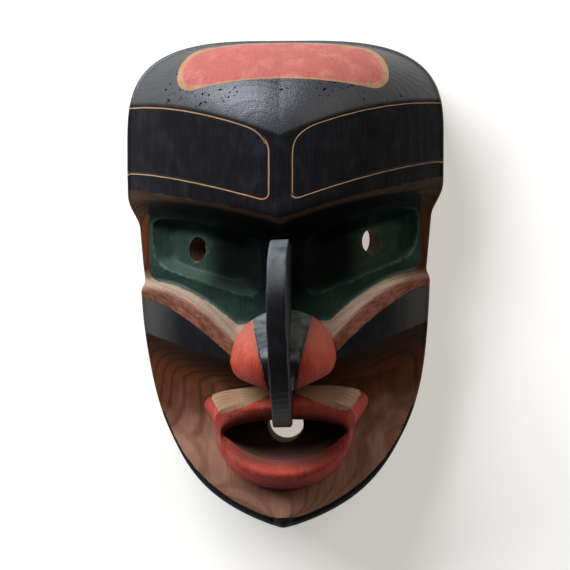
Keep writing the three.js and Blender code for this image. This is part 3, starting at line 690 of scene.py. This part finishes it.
# How far up from the chin's tip the black of the jaw's edge reaches, and at what height it starts.
CHIN_TIP, JAW_BLACK_Y = 2.2, -78
# The painted panel on the crown: its top and foot in the middle, how far each falls in how much of its
# half width, that half width, the radius of its upper and lower corners, and its border's width in the
# middle and at the ends.
PANEL_TOP, PANEL_TOP_FALL, PANEL_TOP_SPAN = 147.2, 3.9, 50
PANEL_FOOT, PANEL_FOOT_FALL, PANEL_FOOT_SPAN = 121.6, 6.2, 58
PANEL_HALF, PANEL_TOP_CORNER, PANEL_FOOT_CORNER = 64, 15, 11
BORDER_MIDDLE, BORDER_END = 1.1, 3.5
# How far out the green around an eye reaches, and the radius of its upper and lower corners.
GREEN_HALF, GREEN_TOP_CORNER, GREEN_FOOT_CORNER = 84, 5, 7
# The mouth's opening, from the muzzle's first ring: half its width, its centre line and its reach
# above and below it.
MOUTH_HALF, MOUTH_Y, MOUTH_UP, MOUTH_DOWN = MUZZLE[0, :4]


def paint_fields(x, y):
    """Distances in millimetres to the edges of each painted area, most of them straight up or down
    and all of them positive inside it."""
    share = np.minimum(1, np.abs(x) / np.maximum(half_width(y), 1e-3))
    side = np.abs(x)
    line = {name: line_at(name, share)[0] for name in NAMES}
    top = PANEL_TOP - PANEL_TOP_FALL * (x / PANEL_TOP_SPAN) ** 2
    foot = PANEL_FOOT - PANEL_FOOT_FALL * (x / PANEL_FOOT_SPAN) ** 2
    panel = np.minimum(rounded_corner(top - y, PANEL_HALF - side, PANEL_TOP_CORNER),
                       rounded_corner(y - foot, PANEL_HALF - side, PANEL_FOOT_CORNER))
    border = mix(BORDER_MIDDLE, BORDER_END, smooth(38, 60, side))
    inland = GREEN_HALF - side
    socket = np.minimum(rounded_corner(line["chamfer_foot"] - y, inland, GREEN_TOP_CORNER),
                        rounded_corner(y - line["valley"] + GREEN_OVERRUN, inland, GREEN_FOOT_CORNER))
    outer = np.maximum(side - half_width(y), line["chin"] + CHIN_TIP - y)
    reach = np.where(y > MOUTH_Y, MOUTH_UP, MOUTH_DOWN)
    from_mouth = (np.hypot(x / MOUTH_HALF, (y - MOUTH_Y) / reach) - 1) * reach
    beside_nose = np.minimum(DARK_REACH - side, y - line["sill"] - 2)
    return {
        "brow": y - line["brow_edge"], "crown": y - line["panel_top"],
        "panel": panel, "panel_pink": panel - border, "socket": socket,
        "band": np.minimum(line["band_top"] - y, y - line["band_foot"]),
        "over_band": y - line["band_top"], "tan": y - line["crest"],
        "jaw_edge": np.minimum(outer - 0.25, (JAW_BLACK_Y - y) * 0.5),
        "nostril": side - np.interp(y, NOSTRIL_Y, NOSTRIL_X),
        "lips": -inside_outline(side, y, BARE_EDGE),
        # Where the green is painted near-black as shade: under the brow and beside the beak.
        "dark": np.maximum(y - line["socket_top"], beside_nose),
        "over_eyes": y - line["socket_top"], "from_mouth": from_mouth,
    }


def turning(mesh, place):
    """How sharply the surface turns at each vertex, in 1/mm and positive on outward edges: along
    each mesh edge the change of normal over the distance, averaged over a vertex's edges by their
    length and then spread twice to its neighbours."""
    count = len(place)
    ends = np.empty(len(mesh.edges) * 2, np.int32)
    mesh.edges.foreach_get("vertices", ends)
    a, b = ends.reshape(-1, 2).T
    normals = np.empty(count * 3, np.float32)
    mesh.vertex_normals.foreach_get("vector", normals)
    normals = normals.reshape(-1, 3)
    step = place[b] - place[a]
    length = np.maximum(np.linalg.norm(step, axis=1), 0.05)
    bend = np.clip(((normals[b] - normals[a]) * step).sum(axis=1) / length ** 2, -2, 2)
    total = np.bincount(a, length, count) + np.bincount(b, length, count)
    value = (np.bincount(a, bend * length, count) + np.bincount(b, bend * length, count)) / total
    for _ in range(2):
        near = np.bincount(a, value[b] * length, count) + np.bincount(b, value[a] * length, count)
        value = (value + near / total) / 2
    return value


def mask_piece(materials):
    """The carved mesh as an object. Its paint fields are worked out while it is still straight.
    Then it sways by a bell curve of the height and leans by a flatter one, turns to metres, and is
    set in the solid's box, with its crown at the box's crown and its rim on the ground."""
    mesh = carve(materials)
    count = len(mesh.vertices)
    place = np.empty(count * 3, np.float32)
    mesh.vertices.foreach_get("co", place)
    place = place.reshape(-1, 3).astype(float)
    x, y = place[:, 0], place[:, 1]
    fields = paint_fields(x, y)
    fields["edge"] = turning(mesh, place)
    for name, values in fields.items():
        attribute = mesh.attributes.new(name, "FLOAT", "POINT")
        attribute.data.foreach_set("value", np.clip(values, -60, 60).astype(np.float32))
    sway = SWAY * np.exp(-((y - SWAY_Y) / SWAY_REACH) ** 2)
    lean = LEAN * np.exp(-((y - LEAN_Y) / LEAN_REACH) ** 4)
    place[:, 0], place[:, 1] = x + sway, y + x * lean
    place *= MM
    low, high = place.min(axis=0), place.max(axis=0)
    target_low, target_high = np.array(cad_low), np.array(cad_high)
    scale = np.minimum(1, (target_high - target_low) / (high - low))
    place = (place - (low + high) / 2) * scale
    place += (target_low + target_high) / 2
    place[:, 1] += target_high[1] - place[:, 1].max()
    place[:, 2] += target_low[2] - place[:, 2].min()
    mesh.vertices.foreach_set("co", place.astype(np.float32).ravel())
    mesh.shade_smooth()
    mesh.set_sharp_from_angle(angle=math.radians(SHARP_TURN))
    mesh.update()
    piece = bpy.data.objects.new("carved_mask", mesh)
    bpy.context.scene.collection.objects.link(piece)
    return piece


def colour(code):
    """An sRGB hex value as linear red, green, blue and alpha."""
    parts = [int(code[i:i + 2], 16) / 255 for i in (1, 3, 5)]
    return [p / 12.92 if p <= 0.04045 else ((p + 0.055) / 1.055) ** 2.4 for p in parts] + [1.0]


def fill(made, inputs):
    """Links a node's inputs where they are given a socket, or a node whose first output in use is
    meant, and sets them where they are given a value. They come by name, or in the order in which
    the node shows them."""
    named = isinstance(inputs, dict)
    sockets = [made.inputs[name] for name in inputs] if named else [s for s in made.inputs if s.enabled]
    for socket, value in zip(sockets, inputs.values() if named else inputs):
        if isinstance(value, bpy.types.Node):
            value = next(output for output in value.outputs if output.enabled)
        if isinstance(value, bpy.types.NodeSocket):
            made.id_data.links.new(value, socket)
        else:
            socket.default_value = value


def add_node(tree, kind, inputs=(), **settings):
    """Adds a node of one kind, with its settings and its inputs."""
    made = tree.nodes.new("ShaderNode" + kind)
    for name, value in settings.items():
        setattr(made, name, value)
    fill(made, inputs)
    return made


# Settings that many nodes share: a value eased at both ends of its range, and a blend of colours.
EASED = {"interpolation_type": "SMOOTHSTEP"}
COLOURS = {"data_type": "RGBA"}


def tinted(add, tone, tint, value, low, high, most=1.0, least=0.0):
    """A tint laid over a tone: by the least share where the value is low, by the most where it is
    high, and eased between them."""
    share = add("MapRange", [value, low, high, least, most], **EASED)
    return add("Mix", [share, tone, tint], **COLOURS)


def speckle(add, place, millimetres, stretch=(1, 1, 1), detail=2.0):
    """Noise whose blotches are about so many millimetres across, drawn out along an axis by stretch."""
    scaled = add("VectorMath", [place, [1 / s for s in stretch]], operation="MULTIPLY")
    return add("TexNoise", {"Vector": scaled, "Scale": 1000 / millimetres, "Detail": detail,
                            "Roughness": 0.55})


# Growth rings: how far apart they are in millimetres, on the cheeks and elsewhere, and where their
# heart lies from the mask's origin.
CHEEK_RINGS, RINGS = 1.7, 3.3
HEART = (0.012, 0.0, -0.062)


def cedar(add, place, shades, spacing=RINGS):
    """Western red cedar, flat sawn. Growth rings lie round a heart behind the mask, along its
    height, so that hollows and swells cut them into contour lines. Fibres run along the grain, and
    are drawn 0.8 mm wide, coarser than real ones, so that they show."""
    early, late, dark = (colour(code) for code in shades)
    from_heart = add("VectorMath", [place, HEART], operation="SUBTRACT")
    flat = add("VectorMath", [from_heart, (1, 0.05, 1)], operation="MULTIPLY")
    radius = add("VectorMath", [flat], operation="LENGTH")
    drift = add("Math", [speckle(add, place, 60, (1, 2.5, 1), 1.0), 0.006], operation="MULTIPLY")
    wandering = add("Math", [radius, drift], operation="ADD")
    rings = add("Math", [wandering, 1000 / spacing], operation="MULTIPLY")
    ring = add("Math", [rings], operation="FRACT")
    off_middle = add("Math", [ring, 0.5], operation="SUBTRACT")
    from_middle = add("Math", [off_middle], operation="ABSOLUTE")
    latewood = add("MapRange", [from_middle, 0.24, 0.05], **EASED)
    fibre = speckle(add, place, 0.8, (1, 20, 1), 3.0)
    patches = speckle(add, place, 22, (1, 1.6, 1), 4.0)
    tone = tinted(add, early, late, latewood, 0, 1, 0.6)
    tone = tinted(add, tone, dark, fibre, 0.40, 0.75, 0.4)
    tone = tinted(add, tone, dark, patches, 0.42, 0.75, 0.35)
    raised = add("Math", [latewood, 0.3], operation="MULTIPLY")
    return tone, add("Math", [raised, fibre], operation="ADD")


def paint_cover(add, place, name, ragged=0.5, fade=0.18):
    """Where a paint lies: inside its field, whose edge wanders a little as a brush does, and fades
    out over twice so many millimetres."""
    inside = add("Attribute", attribute_name=name).outputs["Fac"]
    wander = add("MapRange", [speckle(add, place, 3.5), 0.2, 0.8, -ragged, ragged], **EASED)
    return add("MapRange", [add("Math", [inside, wander], operation="ADD"), -fade, fade], **EASED)


def strokes(add, place, slant, length, width):
    """Noise drawn out into strokes that rise outwards on both halves of the face, at so many degrees,
    with a length and a width in millimetres."""
    x, y, _ = add("SeparateXYZ", [place]).outputs
    outwards = add("Math", [x], operation="ABSOLUTE")
    mirrored = add("CombineXYZ", [outwards, y])
    turned = add("Mapping", {"Vector": mirrored, "Rotation": (0, 0, -math.radians(slant))})
    return speckle(add, turned, width, (length / width, 1, 1))


def paint_tone(add, place, shades, blotch=9.0):
    """A brushed coat: its colour drifts in blotches, and streaks follow the grain under it. They are
    drawn 0.9 mm wide, coarser than a brush leaves them, so that they show."""
    main, light, dark = (colour(code) for code in shades)
    patches = speckle(add, place, blotch, (1, 1.5, 1), 4.0)
    streaks = speckle(add, place, 0.9, (1, 24, 1))
    tone = tinted(add, main, light, patches, 0.45, 0.72, 0.8)
    tone = tinted(add, tone, light, streaks, 0.56, 0.74, 0.5)
    return tinted(add, tone, dark, streaks, 0.50, 0.30, 0.5)


def socket_shade_share(add):
    """How much of the green is covered by painted shade, near-black under the brow and beside the beak."""
    dark = add("Attribute", attribute_name="dark").outputs["Fac"]
    return add("MapRange", [dark, -14, 7, 0.0, 0.93], **EASED)


def painted_socket_shade(add, tone):
    """Painted shade: near-black laid over the green under the brow and beside the beak."""
    return add("Mix", [socket_shade_share(add), tone, colour("#020303")], **COLOURS)


def dust_and_light_from_above(add, tone):
    """Pale on what faces up: dust that settles there while the mask hangs, and painted light from above."""
    normal = add("NewGeometry").outputs["Normal"]
    upwards = add("SeparateXYZ", [normal]).outputs["Y"]
    return tinted(add, tone, colour("#788676"), upwards, 0.15, 0.8, 0.24)


def paled_edges_and_shaded_creases(add, place, tone, pale_edge, grime_and_shade, edge_paling=0.6, dirt_and_shade=0.7, sharp=0.5):
    """Use and age, and painted light and shade: edges that stand out are paled, fully where they
    turn as sharply as given, partly by use and partly as painted highlight where they catch the
    light, and the corners are darkened, partly as soiling and partly as painted shade."""
    edge = add("Attribute", attribute_name="edge").outputs["Fac"]
    stands_out = add("MapRange", [edge, 0.3 * sharp, sharp, 0.0, edge_paling], **EASED)
    patchy = add("MapRange", [speckle(add, place, 5, detail=3.0), 0.36, 0.62], **EASED)
    highlight_and_wear = add("Math", [stands_out, patchy], operation="MULTIPLY")
    tone = add("Mix", [highlight_and_wear, tone, colour(pale_edge)], **COLOURS)
    return tinted(add, tone, colour(grime_and_shade), edge, -0.06, -0.42, dirt_and_shade)


def new_material(name):
    """A material, its shader, the function that adds a node to it, and its object coordinates."""
    material = bpy.data.materials.new(name)
    material.use_nodes = True
    add = partial(add_node, material.node_tree)
    shader = material.node_tree.nodes["Principled BSDF"]
    return material, shader, add, add("TexCoord").outputs["Object"]


def dress(shader, add, tone, roughness, height, depth=0.0002, shine=0.5):
    """Puts a finish on its shader: colour, roughness, shine and a bump of that depth in metres."""
    bump = add("Bump", {"Strength": 1.0, "Distance": depth, "Height": height})
    fill(shader, {"Base Color": tone, "Roughness": roughness, "Specular IOR Level": shine, "Normal": bump})


# Each coat: its main, lighter and darker colour.
BLACK = ("#161618", "#242428", "#0a0a0b")
GREEN = ("#223a30", "#33493d", "#132a22")
RED = ("#b83d26", "#c75a40", "#862413")
LIP_RED = ("#b04236", "#bd5a4d", "#762820")
PINK = ("#b9675f", "#c67d73", "#9c4e46")
BORDER = ("#b08461", "#bf9673", "#8d6143")
# The pale green of the troughs' edges, partly from use and partly a painted highlight.
PALE_EDGE_GREEN = "#61746a"
# Each wood: its early wood, late wood and dark fibres.
TAN_CEDAR = ("#a87a63", "#8a5b45", "#6b4232")
BROWN_CEDAR = ("#5a2f15", "#35190a", "#241006")
GREY_BROWN_CEDAR = ("#4c3b2c", "#382a1f", "#231810")
CREST_CEDAR = ("#b29a83", "#9b8069", "#856852")
HATCH_CEDAR = ("#75402b", "#5a2c1c", "#452013")
BARE_CEDAR = ("#a88668", "#8f6b50", "#6b4c37")
LINE_CEDAR = ("#b08d6c", "#97714f", "#7b573c")
# The mouth's wood is dark as painted shade in the cavity.
MOUTH_CEDAR = ("#4a3227", "#38241b", "#1d120d")
# The eye holes' wood is dark as painted shade in them.
BORED_CEDAR = ("#4d2c20", "#361b11", "#20100a")
ADZED_CEDAR = ("#a07a5a", "#86603f", "#5f3f2a")


def bare_face(add, place):
    """The unpainted wood of the face and its grain: oiled brown on the cheeks and temples, with
    painted shade under the overhanging black band, tan on the jaw, hatched with a knife over the
    band, pale on the cheek ridge and a greyer brown over the eyes."""
    tan, grain = cedar(add, place, TAN_CEDAR, CHEEK_RINGS)
    brown, _ = cedar(add, place, BROWN_CEDAR, CHEEK_RINGS)
    grey_brown, _ = cedar(add, place, GREY_BROWN_CEDAR)
    crest, _ = cedar(add, place, CREST_CEDAR)
    hatched, _ = cedar(add, place, HATCH_CEDAR)
    band, over_crest, over_eyes = (add("Attribute", attribute_name=name).outputs["Fac"]
                                   for name in ("band", "tan", "over_eyes"))
    y = add("SeparateXYZ", [place]).outputs["Y"]
    drift = add("MapRange", [speckle(add, place, 22), 0.2, 0.8, -0.011, 0.011], **EASED)
    jaw = add("Math", [y, drift], operation="ADD")
    tone = tinted(add, brown, tan, jaw, -0.058, -0.104, 0.95)
    # Painted shade on the wood under the black band, which overhangs it.
    tone = tinted(add, tone, colour("#1c0d04"), band, -22, -2, 0.85)
    marks = strokes(add, place, 33, 6, 0.7)
    facet = tinted(add, tan, hatched, marks, 0.36, 0.62, 1.0, 0.4)
    ragged = add("MapRange", [marks, 0.3, 0.7, -0.9, 0.9], **EASED)
    upper = add("Math", [over_crest, ragged], operation="ADD")
    tone = add("Mix", [paint_cover(add, place, "over_band", 0.4), tone, facet], **COLOURS)
    tone = tinted(add, tone, crest, upper, -0.6, 3.4)
    tone = tinted(add, tone, brown, y, 0.000, 0.010)
    # A greyer brown on the wood over the eyes.
    return tinted(add, tone, grey_brown, over_eyes, -6, 6), grain


def satin_crown(add, place, tone, rough, shine, grain):
    """What the light finds in the black over the brow: it is smoother and shinier than elsewhere,
    painted a little greyer as a sheen, leathery, and pitted near the panel, with painted shade in
    the pits. The pits are 2.3 mm specks of noise, in crowds of 14 mm. Gives back the colour,
    roughness, shine and height."""
    crown, panel = (add("Attribute", attribute_name=name).outputs["Fac"] for name in ("crown", "panel"))
    on_crown = add("MapRange", [crown, 0.5, 3.0], **EASED)
    off_panel = add("MapRange", [panel, 0.3, -0.3], **EASED)
    glossy = add("Math", [on_crown, off_panel], operation="MULTIPLY")
    rough = add("Mix", [glossy, rough, 0.43])
    shine = add("Mix", [glossy, shine, 0.85])
    # Painted sheen: the glossy black is tinted greyer where the light catches it.
    lit = add("Math", [glossy, 0.6], operation="MULTIPLY")
    tone = add("Mix", [lit, tone, colour("#2c2e33")], **COLOURS)
    specks = add("MapRange", [speckle(add, place, 2.3, (1.3, 1, 1), 1.0), 0.63, 0.68], **EASED)
    crowded = add("MapRange", [speckle(add, place, 14, detail=1.0), 0.46, 0.58], **EASED)
    by_panel = add("MapRange", [panel, -17, -8], **EASED)
    depth = add("SeparateXYZ", [place]).outputs["Z"]
    on_front = add("MapRange", [depth, 0.048, 0.060], **EASED)
    pitted = add("Math", [specks, crowded], operation="MULTIPLY")
    near_panel = add("Math", [by_panel, on_front], operation="MULTIPLY")
    near_panel = add("Math", [near_panel, glossy], operation="MULTIPLY")
    pits = add("Math", [pitted, near_panel], operation="MULTIPLY")
    # Painted shade: the pits are tinted near-black.
    pit_shade = add("Math", [pits, 0.95], operation="MULTIPLY")
    tone = add("Mix", [pit_shade, tone, colour("#040405")], **COLOURS)
    shine = add("Mix", [pits, shine, 0.0])
    leather = add("Math", [speckle(add, place, 0.9, (2.2, 1, 1), 3.0), glossy], operation="MULTIPLY")
    leather = add("Math", [leather, 0.9], operation="MULTIPLY")
    sunk = add("Math", [pits, 2.2], operation="MULTIPLY")
    height = add("Math", [grain, leather], operation="ADD")
    height = add("Math", [height, sunk], operation="SUBTRACT")
    return tone, rough, shine, height


def face_material():
    """Carving paint brushed on red cedar, black, green and pink, over an oil stain that is dark on
    the cheeks and thin on the jaw. The eye sees satin black, pitted over the brow where the light
    catches it, matt green, and bare wood whose fibres were torn a little by the knife."""
    material, shader, add, place = new_material("brushed_paint_on_cedar")
    tone, grain = bare_face(add, place)
    out = add("Math", [add("SeparateXYZ", [place]).outputs["X"]], operation="ABSOLUTE")
    rough, shine = 0.7, 0.12
    # Each coat's field, colours, roughness, shine, raggedness and fade, in the order of painting.
    coats = [("socket", GREEN, 0.5, 0.2, 0.35, 0.6), ("brow", BLACK, 0.48, 0.28, 0.5, 0.2),
             ("band", BLACK, 0.6, 0.12, 0.5, 0.3), ("panel", BORDER, 0.6, 0.3, 0.15, 0.15),
             ("panel_pink", PINK, 0.6, 0.3, 0.25, 0.25)]
    for name, shades, coat_rough, coat_shine, ragged, fade in coats:
        cover = paint_cover(add, place, name, ragged, fade)
        coat = paint_tone(add, place, shades)
        if name == "socket":
            # The green: edges paled and corners darkened, painted shade under the brow and beside the beak,
            # and paler where it faces up, as dust and painted light.
            coat = paled_edges_and_shaded_creases(add, place, coat, PALE_EDGE_GREEN, "#060b09", 0.7, 0.5, 0.2)
            coat = painted_socket_shade(add, dust_and_light_from_above(add, coat))
        if name == "band":
            # Painted highlight: the black band is tinted grey towards its outer ends, where it turns and
            # catches the light.
            coat = tinted(add, coat, colour("#5c5b56"), out, 0.060, 0.084, 0.55)
        tone = add("Mix", [cover, tone, coat], **COLOURS)
        rough = add("Mix", [cover, rough, coat_rough])
        shine = add("Mix", [cover, shine, coat_shine])
    # Edges paled and corners darkened, partly as painted highlight and painted shade.
    tone = paled_edges_and_shaded_creases(add, place, tone, "#6f5440", "#100b08", 0.5)
    at_jaw = paint_cover(add, place, "jaw_edge", 0.35)
    tone = add("Mix", [at_jaw, tone, paint_tone(add, place, BLACK)], **COLOURS)
    # The green under painted shade loses its shine.
    shine = add("Mix", [socket_shade_share(add), shine, 0.05])
    tone, rough, shine, height = satin_crown(add, place, tone, rough, shine, grain)
    dress(shader, add, tone, rough, height, shine=shine)
    return material


def coated(name, shades, pale_edge, sharp):
    """One brushed coat over cedar, whose grain still shows under it, and what its finish needs."""
    material, shader, add, place = new_material(name)
    _, grain = cedar(add, place, TAN_CEDAR)
    # Its edges are paled and its corners darkened, partly as painted highlight and painted shade.
    tone = paled_edges_and_shaded_creases(add, place, paint_tone(add, place, shades), pale_edge, "#0b0c0b", sharp=sharp)
    return material, shader, add, place, tone, grain


def beak_material():
    """Black carving paint, brushed on the beak: painted grey on its ridge towards the top as a
    highlight, painted near-black on its flanks as shade, and a pale line along the hook's edges."""
    material, shader, add, place, tone, grain = coated("black_paint_on_beak", BLACK, "#6d665e", 0.45)
    height = add("SeparateXYZ", [place]).outputs["Y"]
    normal = add("NewGeometry").outputs["Normal"]
    sideways = add("Math", [add("SeparateXYZ", [normal]).outputs["X"]], operation="ABSOLUTE")
    flank = add("MapRange", [sideways, 0.6, 0.9], **EASED)
    # Painted highlight: the ridge is tinted grey towards the top, where the light catches it.
    upper = add("MapRange", [height, -0.006, 0.032, 0.0, 0.8], **EASED)
    patchy = add("MapRange", [speckle(add, place, 7, (1, 2, 1), 3.0), 0.25, 0.6, 0.4, 1.0], **EASED)
    painted_highlight = add("Math", [upper, patchy], operation="MULTIPLY")
    on_ridge = add("MapRange", [flank, 0, 1, 1.0, 0.15], **EASED)
    painted_highlight = add("Math", [painted_highlight, on_ridge], operation="MULTIPLY")
    tone = add("Mix", [painted_highlight, tone, colour("#7f8585")], **COLOURS)
    # Painted shade: the flanks are tinted near-black.
    flank = add("Math", [flank, 0.6], operation="MULTIPLY")
    tone = add("Mix", [flank, tone, colour("#08090a")], **COLOURS)
    dress(shader, add, tone, 0.46, grain, shine=0.25)
    return material


def trough_material():
    """Green carving paint in the eye troughs: painted shade makes it near-black beside the beak; dust
    and painted light make it paler where it faces up, and it is a little paler on the edges."""
    material, shader, add, _, tone, grain = coated("green_paint_in_troughs", GREEN, PALE_EDGE_GREEN, 0.2)
    shine = add("MapRange", [socket_shade_share(add), 0, 1, 0.25, 0.05], **EASED)
    dress(shader, add, painted_socket_shade(add, dust_and_light_from_above(add, tone)), 0.52, grain, shine=shine)
    return material


def nose_material():
    """Black carving paint down the middle of the nose and vermilion on the nostrils, with bare wood
    where they meet. The black is painted grey on top as a highlight, and the red is painted paler on
    top as a highlight and darker below as shade."""
    material, shader, add, place = new_material("black_and_red_paint")
    _, grain = cedar(add, place, TAN_CEDAR)
    red = paint_cover(add, place, "nostril", 0.2)
    tone = add("Mix", [red, paint_tone(add, place, BLACK), paint_tone(add, place, RED, 6.0)], **COLOURS)
    nostril = add("Attribute", attribute_name="nostril").outputs["Fac"]
    gap = add("Math", [nostril], operation="ABSOLUTE")
    at_gap = add("MapRange", [gap, 0.7, 0.2, 0.0, 0.8], **EASED)
    patchy = add("MapRange", [speckle(add, place, 5), 0.3, 0.55], **EASED)
    bare = add("Math", [at_gap, patchy], operation="MULTIPLY")
    tone = add("Mix", [bare, tone, colour("#b58c6c")], **COLOURS)
    tone = paled_edges_and_shaded_creases(add, place, tone, "#c2765c", "#1c0c08", 0.35)
    # Painted highlight: the black is tinted grey on top, where the light catches it.
    height = add("SeparateXYZ", [place]).outputs["Y"]
    on_top = add("MapRange", [height, -0.040, -0.018, 0.0, 0.95], **EASED)
    mottled = add("MapRange", [speckle(add, place, 5, (1, 1.6, 1), 4.0), 0.34, 0.62, 0.35, 1.0], **EASED)
    highlight_and_wear = add("Math", [on_top, mottled], operation="MULTIPLY")
    black_with_painted_highlight = add("Mix", [highlight_and_wear, tone, colour("#868b88")], **COLOURS)
    # Painted shade under the nostrils and a painted highlight on their tops.
    red_with_painted_shade = tinted(add, tone, colour("#641409"), height, -0.042, -0.062, 0.7)
    red_with_painted_light_and_shade = tinted(add, red_with_painted_shade, colour("#c58674"), height, -0.048, -0.024, 0.45)
    tone = add("Mix", [red, black_with_painted_highlight, red_with_painted_light_and_shade], **COLOURS)
    rough = add("MapRange", [red, 0, 1, 0.36, 0.52], **EASED)
    shine = add("MapRange", [red, 0, 1, 0.55, 0.14], **EASED)
    dress(shader, add, tone, rough, grain, shine=shine)
    return material


def lip_material():
    """Red carving paint on the lips, and bare oiled cedar on the planes over them. The red turns brown
    towards the mouth in the middle, and painted shade deepens it under the lower lip."""
    material, shader, add, place = new_material("red_paint_and_bare_cedar")
    bare, grain = cedar(add, place, BARE_CEDAR)
    red = paint_tone(add, place, LIP_RED, 7.0)
    out = add("Math", [add("SeparateXYZ", [place]).outputs["X"]], operation="ABSOLUTE")
    from_mouth = add("Attribute", attribute_name="from_mouth").outputs["Fac"]
    at_mouth = add("MapRange", [from_mouth, 6.0, 0.5, 0.0, 0.8], **EASED)
    in_middle = add("MapRange", [out, 0.038, 0.020, 0.25, 1.0], **EASED)
    inner = add("Math", [at_mouth, in_middle], operation="MULTIPLY")
    red = add("Mix", [inner, red, colour("#5f3d33")], **COLOURS)
    # Painted shade: the red deepens under the lower lip.
    red = tinted(add, red, colour("#551109"), from_mouth, 10.5, 18.5, 0.9)
    tone = add("Mix", [paint_cover(add, place, "lips", 0.6), bare, red], **COLOURS)
    tone = paled_edges_and_shaded_creases(add, place, tone, "#a8655a", "#1d0e0b", 0.2)
    dress(shader, add, tone, 0.55, grain, shine=0.12)
    return material


def plain_wood(name, shades, roughness, depth):
    """Cedar that was never painted: dark in the holes, scuffed by use and painted dark as their
    shade, and fresh from the adze behind.
    """
    material, shader, add, place = new_material(name)
    tone, grain = cedar(add, place, shades)
    dress(shader, add, tone, roughness, grain, depth, 0.25)
    return material


def line_material():
    """An incised line: its knife cut left the wall that faces up bare, and the wall that faces down,
    and any that faces right, is dark, partly as paint run into it and partly as painted shade from
    the light at the upper left.
    """
    material, shader, add, place = new_material("bare_incised_line")
    tone, grain = cedar(add, place, LINE_CEDAR)
    normal = add("NewGeometry").outputs["True Normal"]
    x, y, _ = add("SeparateXYZ", [normal]).outputs
    # Painted shade: walls facing down and to the right are tinted near-black.
    up = add("Math", [y, add("Math", [x, 0.5], operation="MULTIPLY")], operation="SUBTRACT")
    tone = tinted(add, tone, colour("#131212"), up, 0.1, -0.1)
    dress(shader, add, tone, 0.6, grain, 0.0001)
    return material


def mouth_material():
    """The inside of the mouth: brown wood painted dark as the shade in the cavity, paler and reddish at
    the lips. The eye sees almost nothing in it."""
    material, shader, add, place = new_material("dark_mouth")
    wood, grain = cedar(add, place, MOUTH_CEDAR)
    depth = add("SeparateXYZ", [place]).outputs["Z"]
    # Painted shade: darker deeper in, paler towards the lips.
    tone = tinted(add, wood, colour("#5a3a31"), depth, 0.060, 0.072)
    dress(shader, add, tone, 0.75, grain, shine=0.2)
    return material


# The photo's frame, and the size of one of its pixels at the mask.
PIXELS, METRES_PER_PIXEL = 570, 0.000618


def set_camera():
    """A camera 1.1 m off, 2.9 degrees to the right of the face's axis and 1.5 degrees above it."""
    azimuth, elevation, distance = math.radians(2.9), math.radians(1.5), 1.1
    target = Vector((0.0003, -0.0005, 0.040))
    back = Vector((math.sin(azimuth) * math.cos(elevation), math.sin(elevation),
                   math.cos(azimuth) * math.cos(elevation)))
    data = bpy.data.cameras.new("camera")
    data.sensor_width = 36
    data.lens = data.sensor_width * distance / (METRES_PER_PIXEL * PIXELS)
    data.clip_start, data.clip_end = 0.05, 80
    camera = bpy.data.objects.new("camera", data)
    right = Vector((0, 1, 0)).cross(back).normalized()
    up = back.cross(right)
    turn = Matrix((right, up, back)).transposed()
    camera.matrix_world = Matrix.Translation(target + back * distance) @ turn.to_4x4()
    bpy.context.scene.collection.objects.link(camera)
    bpy.context.scene.camera = camera


def area_light(name, place, target, wide, tall, watts, tint):
    """A rectangular light, its sides in metres, that faces its target."""
    data = bpy.data.lights.new(name, "AREA")
    data.shape = "RECTANGLE"
    data.size, data.size_y = wide, tall
    data.energy = watts
    data.color = colour(tint)[:3]
    lamp = bpy.data.objects.new(name, data)
    aim = (Vector(target) - Vector(place)).normalized()
    turn = aim.to_track_quat("-Z", "Y").to_matrix().to_4x4()
    lamp.matrix_world = Matrix.Translation(Vector(place)) @ turn
    bpy.context.scene.collection.objects.link(lamp)


TABLE_REACH = 25


def set_stage():
    """A matt white light table that glows faintly, so that the openings read pale, under a window's
    light from the upper left and a weaker one from the room."""
    data = bpy.data.meshes.new("table")
    reach = TABLE_REACH
    corners = [(-reach, -reach, 0), (reach, -reach, 0), (reach, reach, 0), (-reach, reach, 0)]
    data.from_pydata(corners, [], [(0, 1, 2, 3)])
    table = bpy.data.objects.new("table", data)
    bpy.context.scene.collection.objects.link(table)
    material, shader, _, _ = new_material("matt_white_table")
    fill(shader, {"Base Color": colour("#f8f4ec"), "Roughness": 0.9, "Specular IOR Level": 0.1,
                  "Emission Color": colour("#fffdf8"), "Emission Strength": 0.42})
    data.materials.append(material)
    world = bpy.data.worlds.new("studio")
    world.use_nodes = True
    fill(world.node_tree.nodes["Background"], {"Color": colour("#f2f5fa"), "Strength": 0.05})
    bpy.context.scene.world = world
    area_light("window", (-1.15, 1.45, 1.2), (0, 0, 0.05), 1.9, 0.6, 69, "#eff4ff")
    area_light("room", (1.3, 0.9, 1.7), (0, 0, 0.05), 1.4, 1.2, 9.5, "#fff8f0")
    bpy.context.scene.view_settings.view_transform = "Standard"


set_camera()
set_stage()
finishes = [
    face_material(), nose_material(), beak_material(), lip_material(),
    mouth_material(), trough_material(), line_material(),
    plain_wood("bored_cedar", BORED_CEDAR, 0.6, 0.0002),
    plain_wood("adzed_cedar", ADZED_CEDAR, 0.68, 0.0003),
]
mask = mask_piece(finishes)
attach(mask, "root")
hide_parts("mask")
print("triangles", sum(len(p.vertices) - 2 for p in mask.data.polygons))
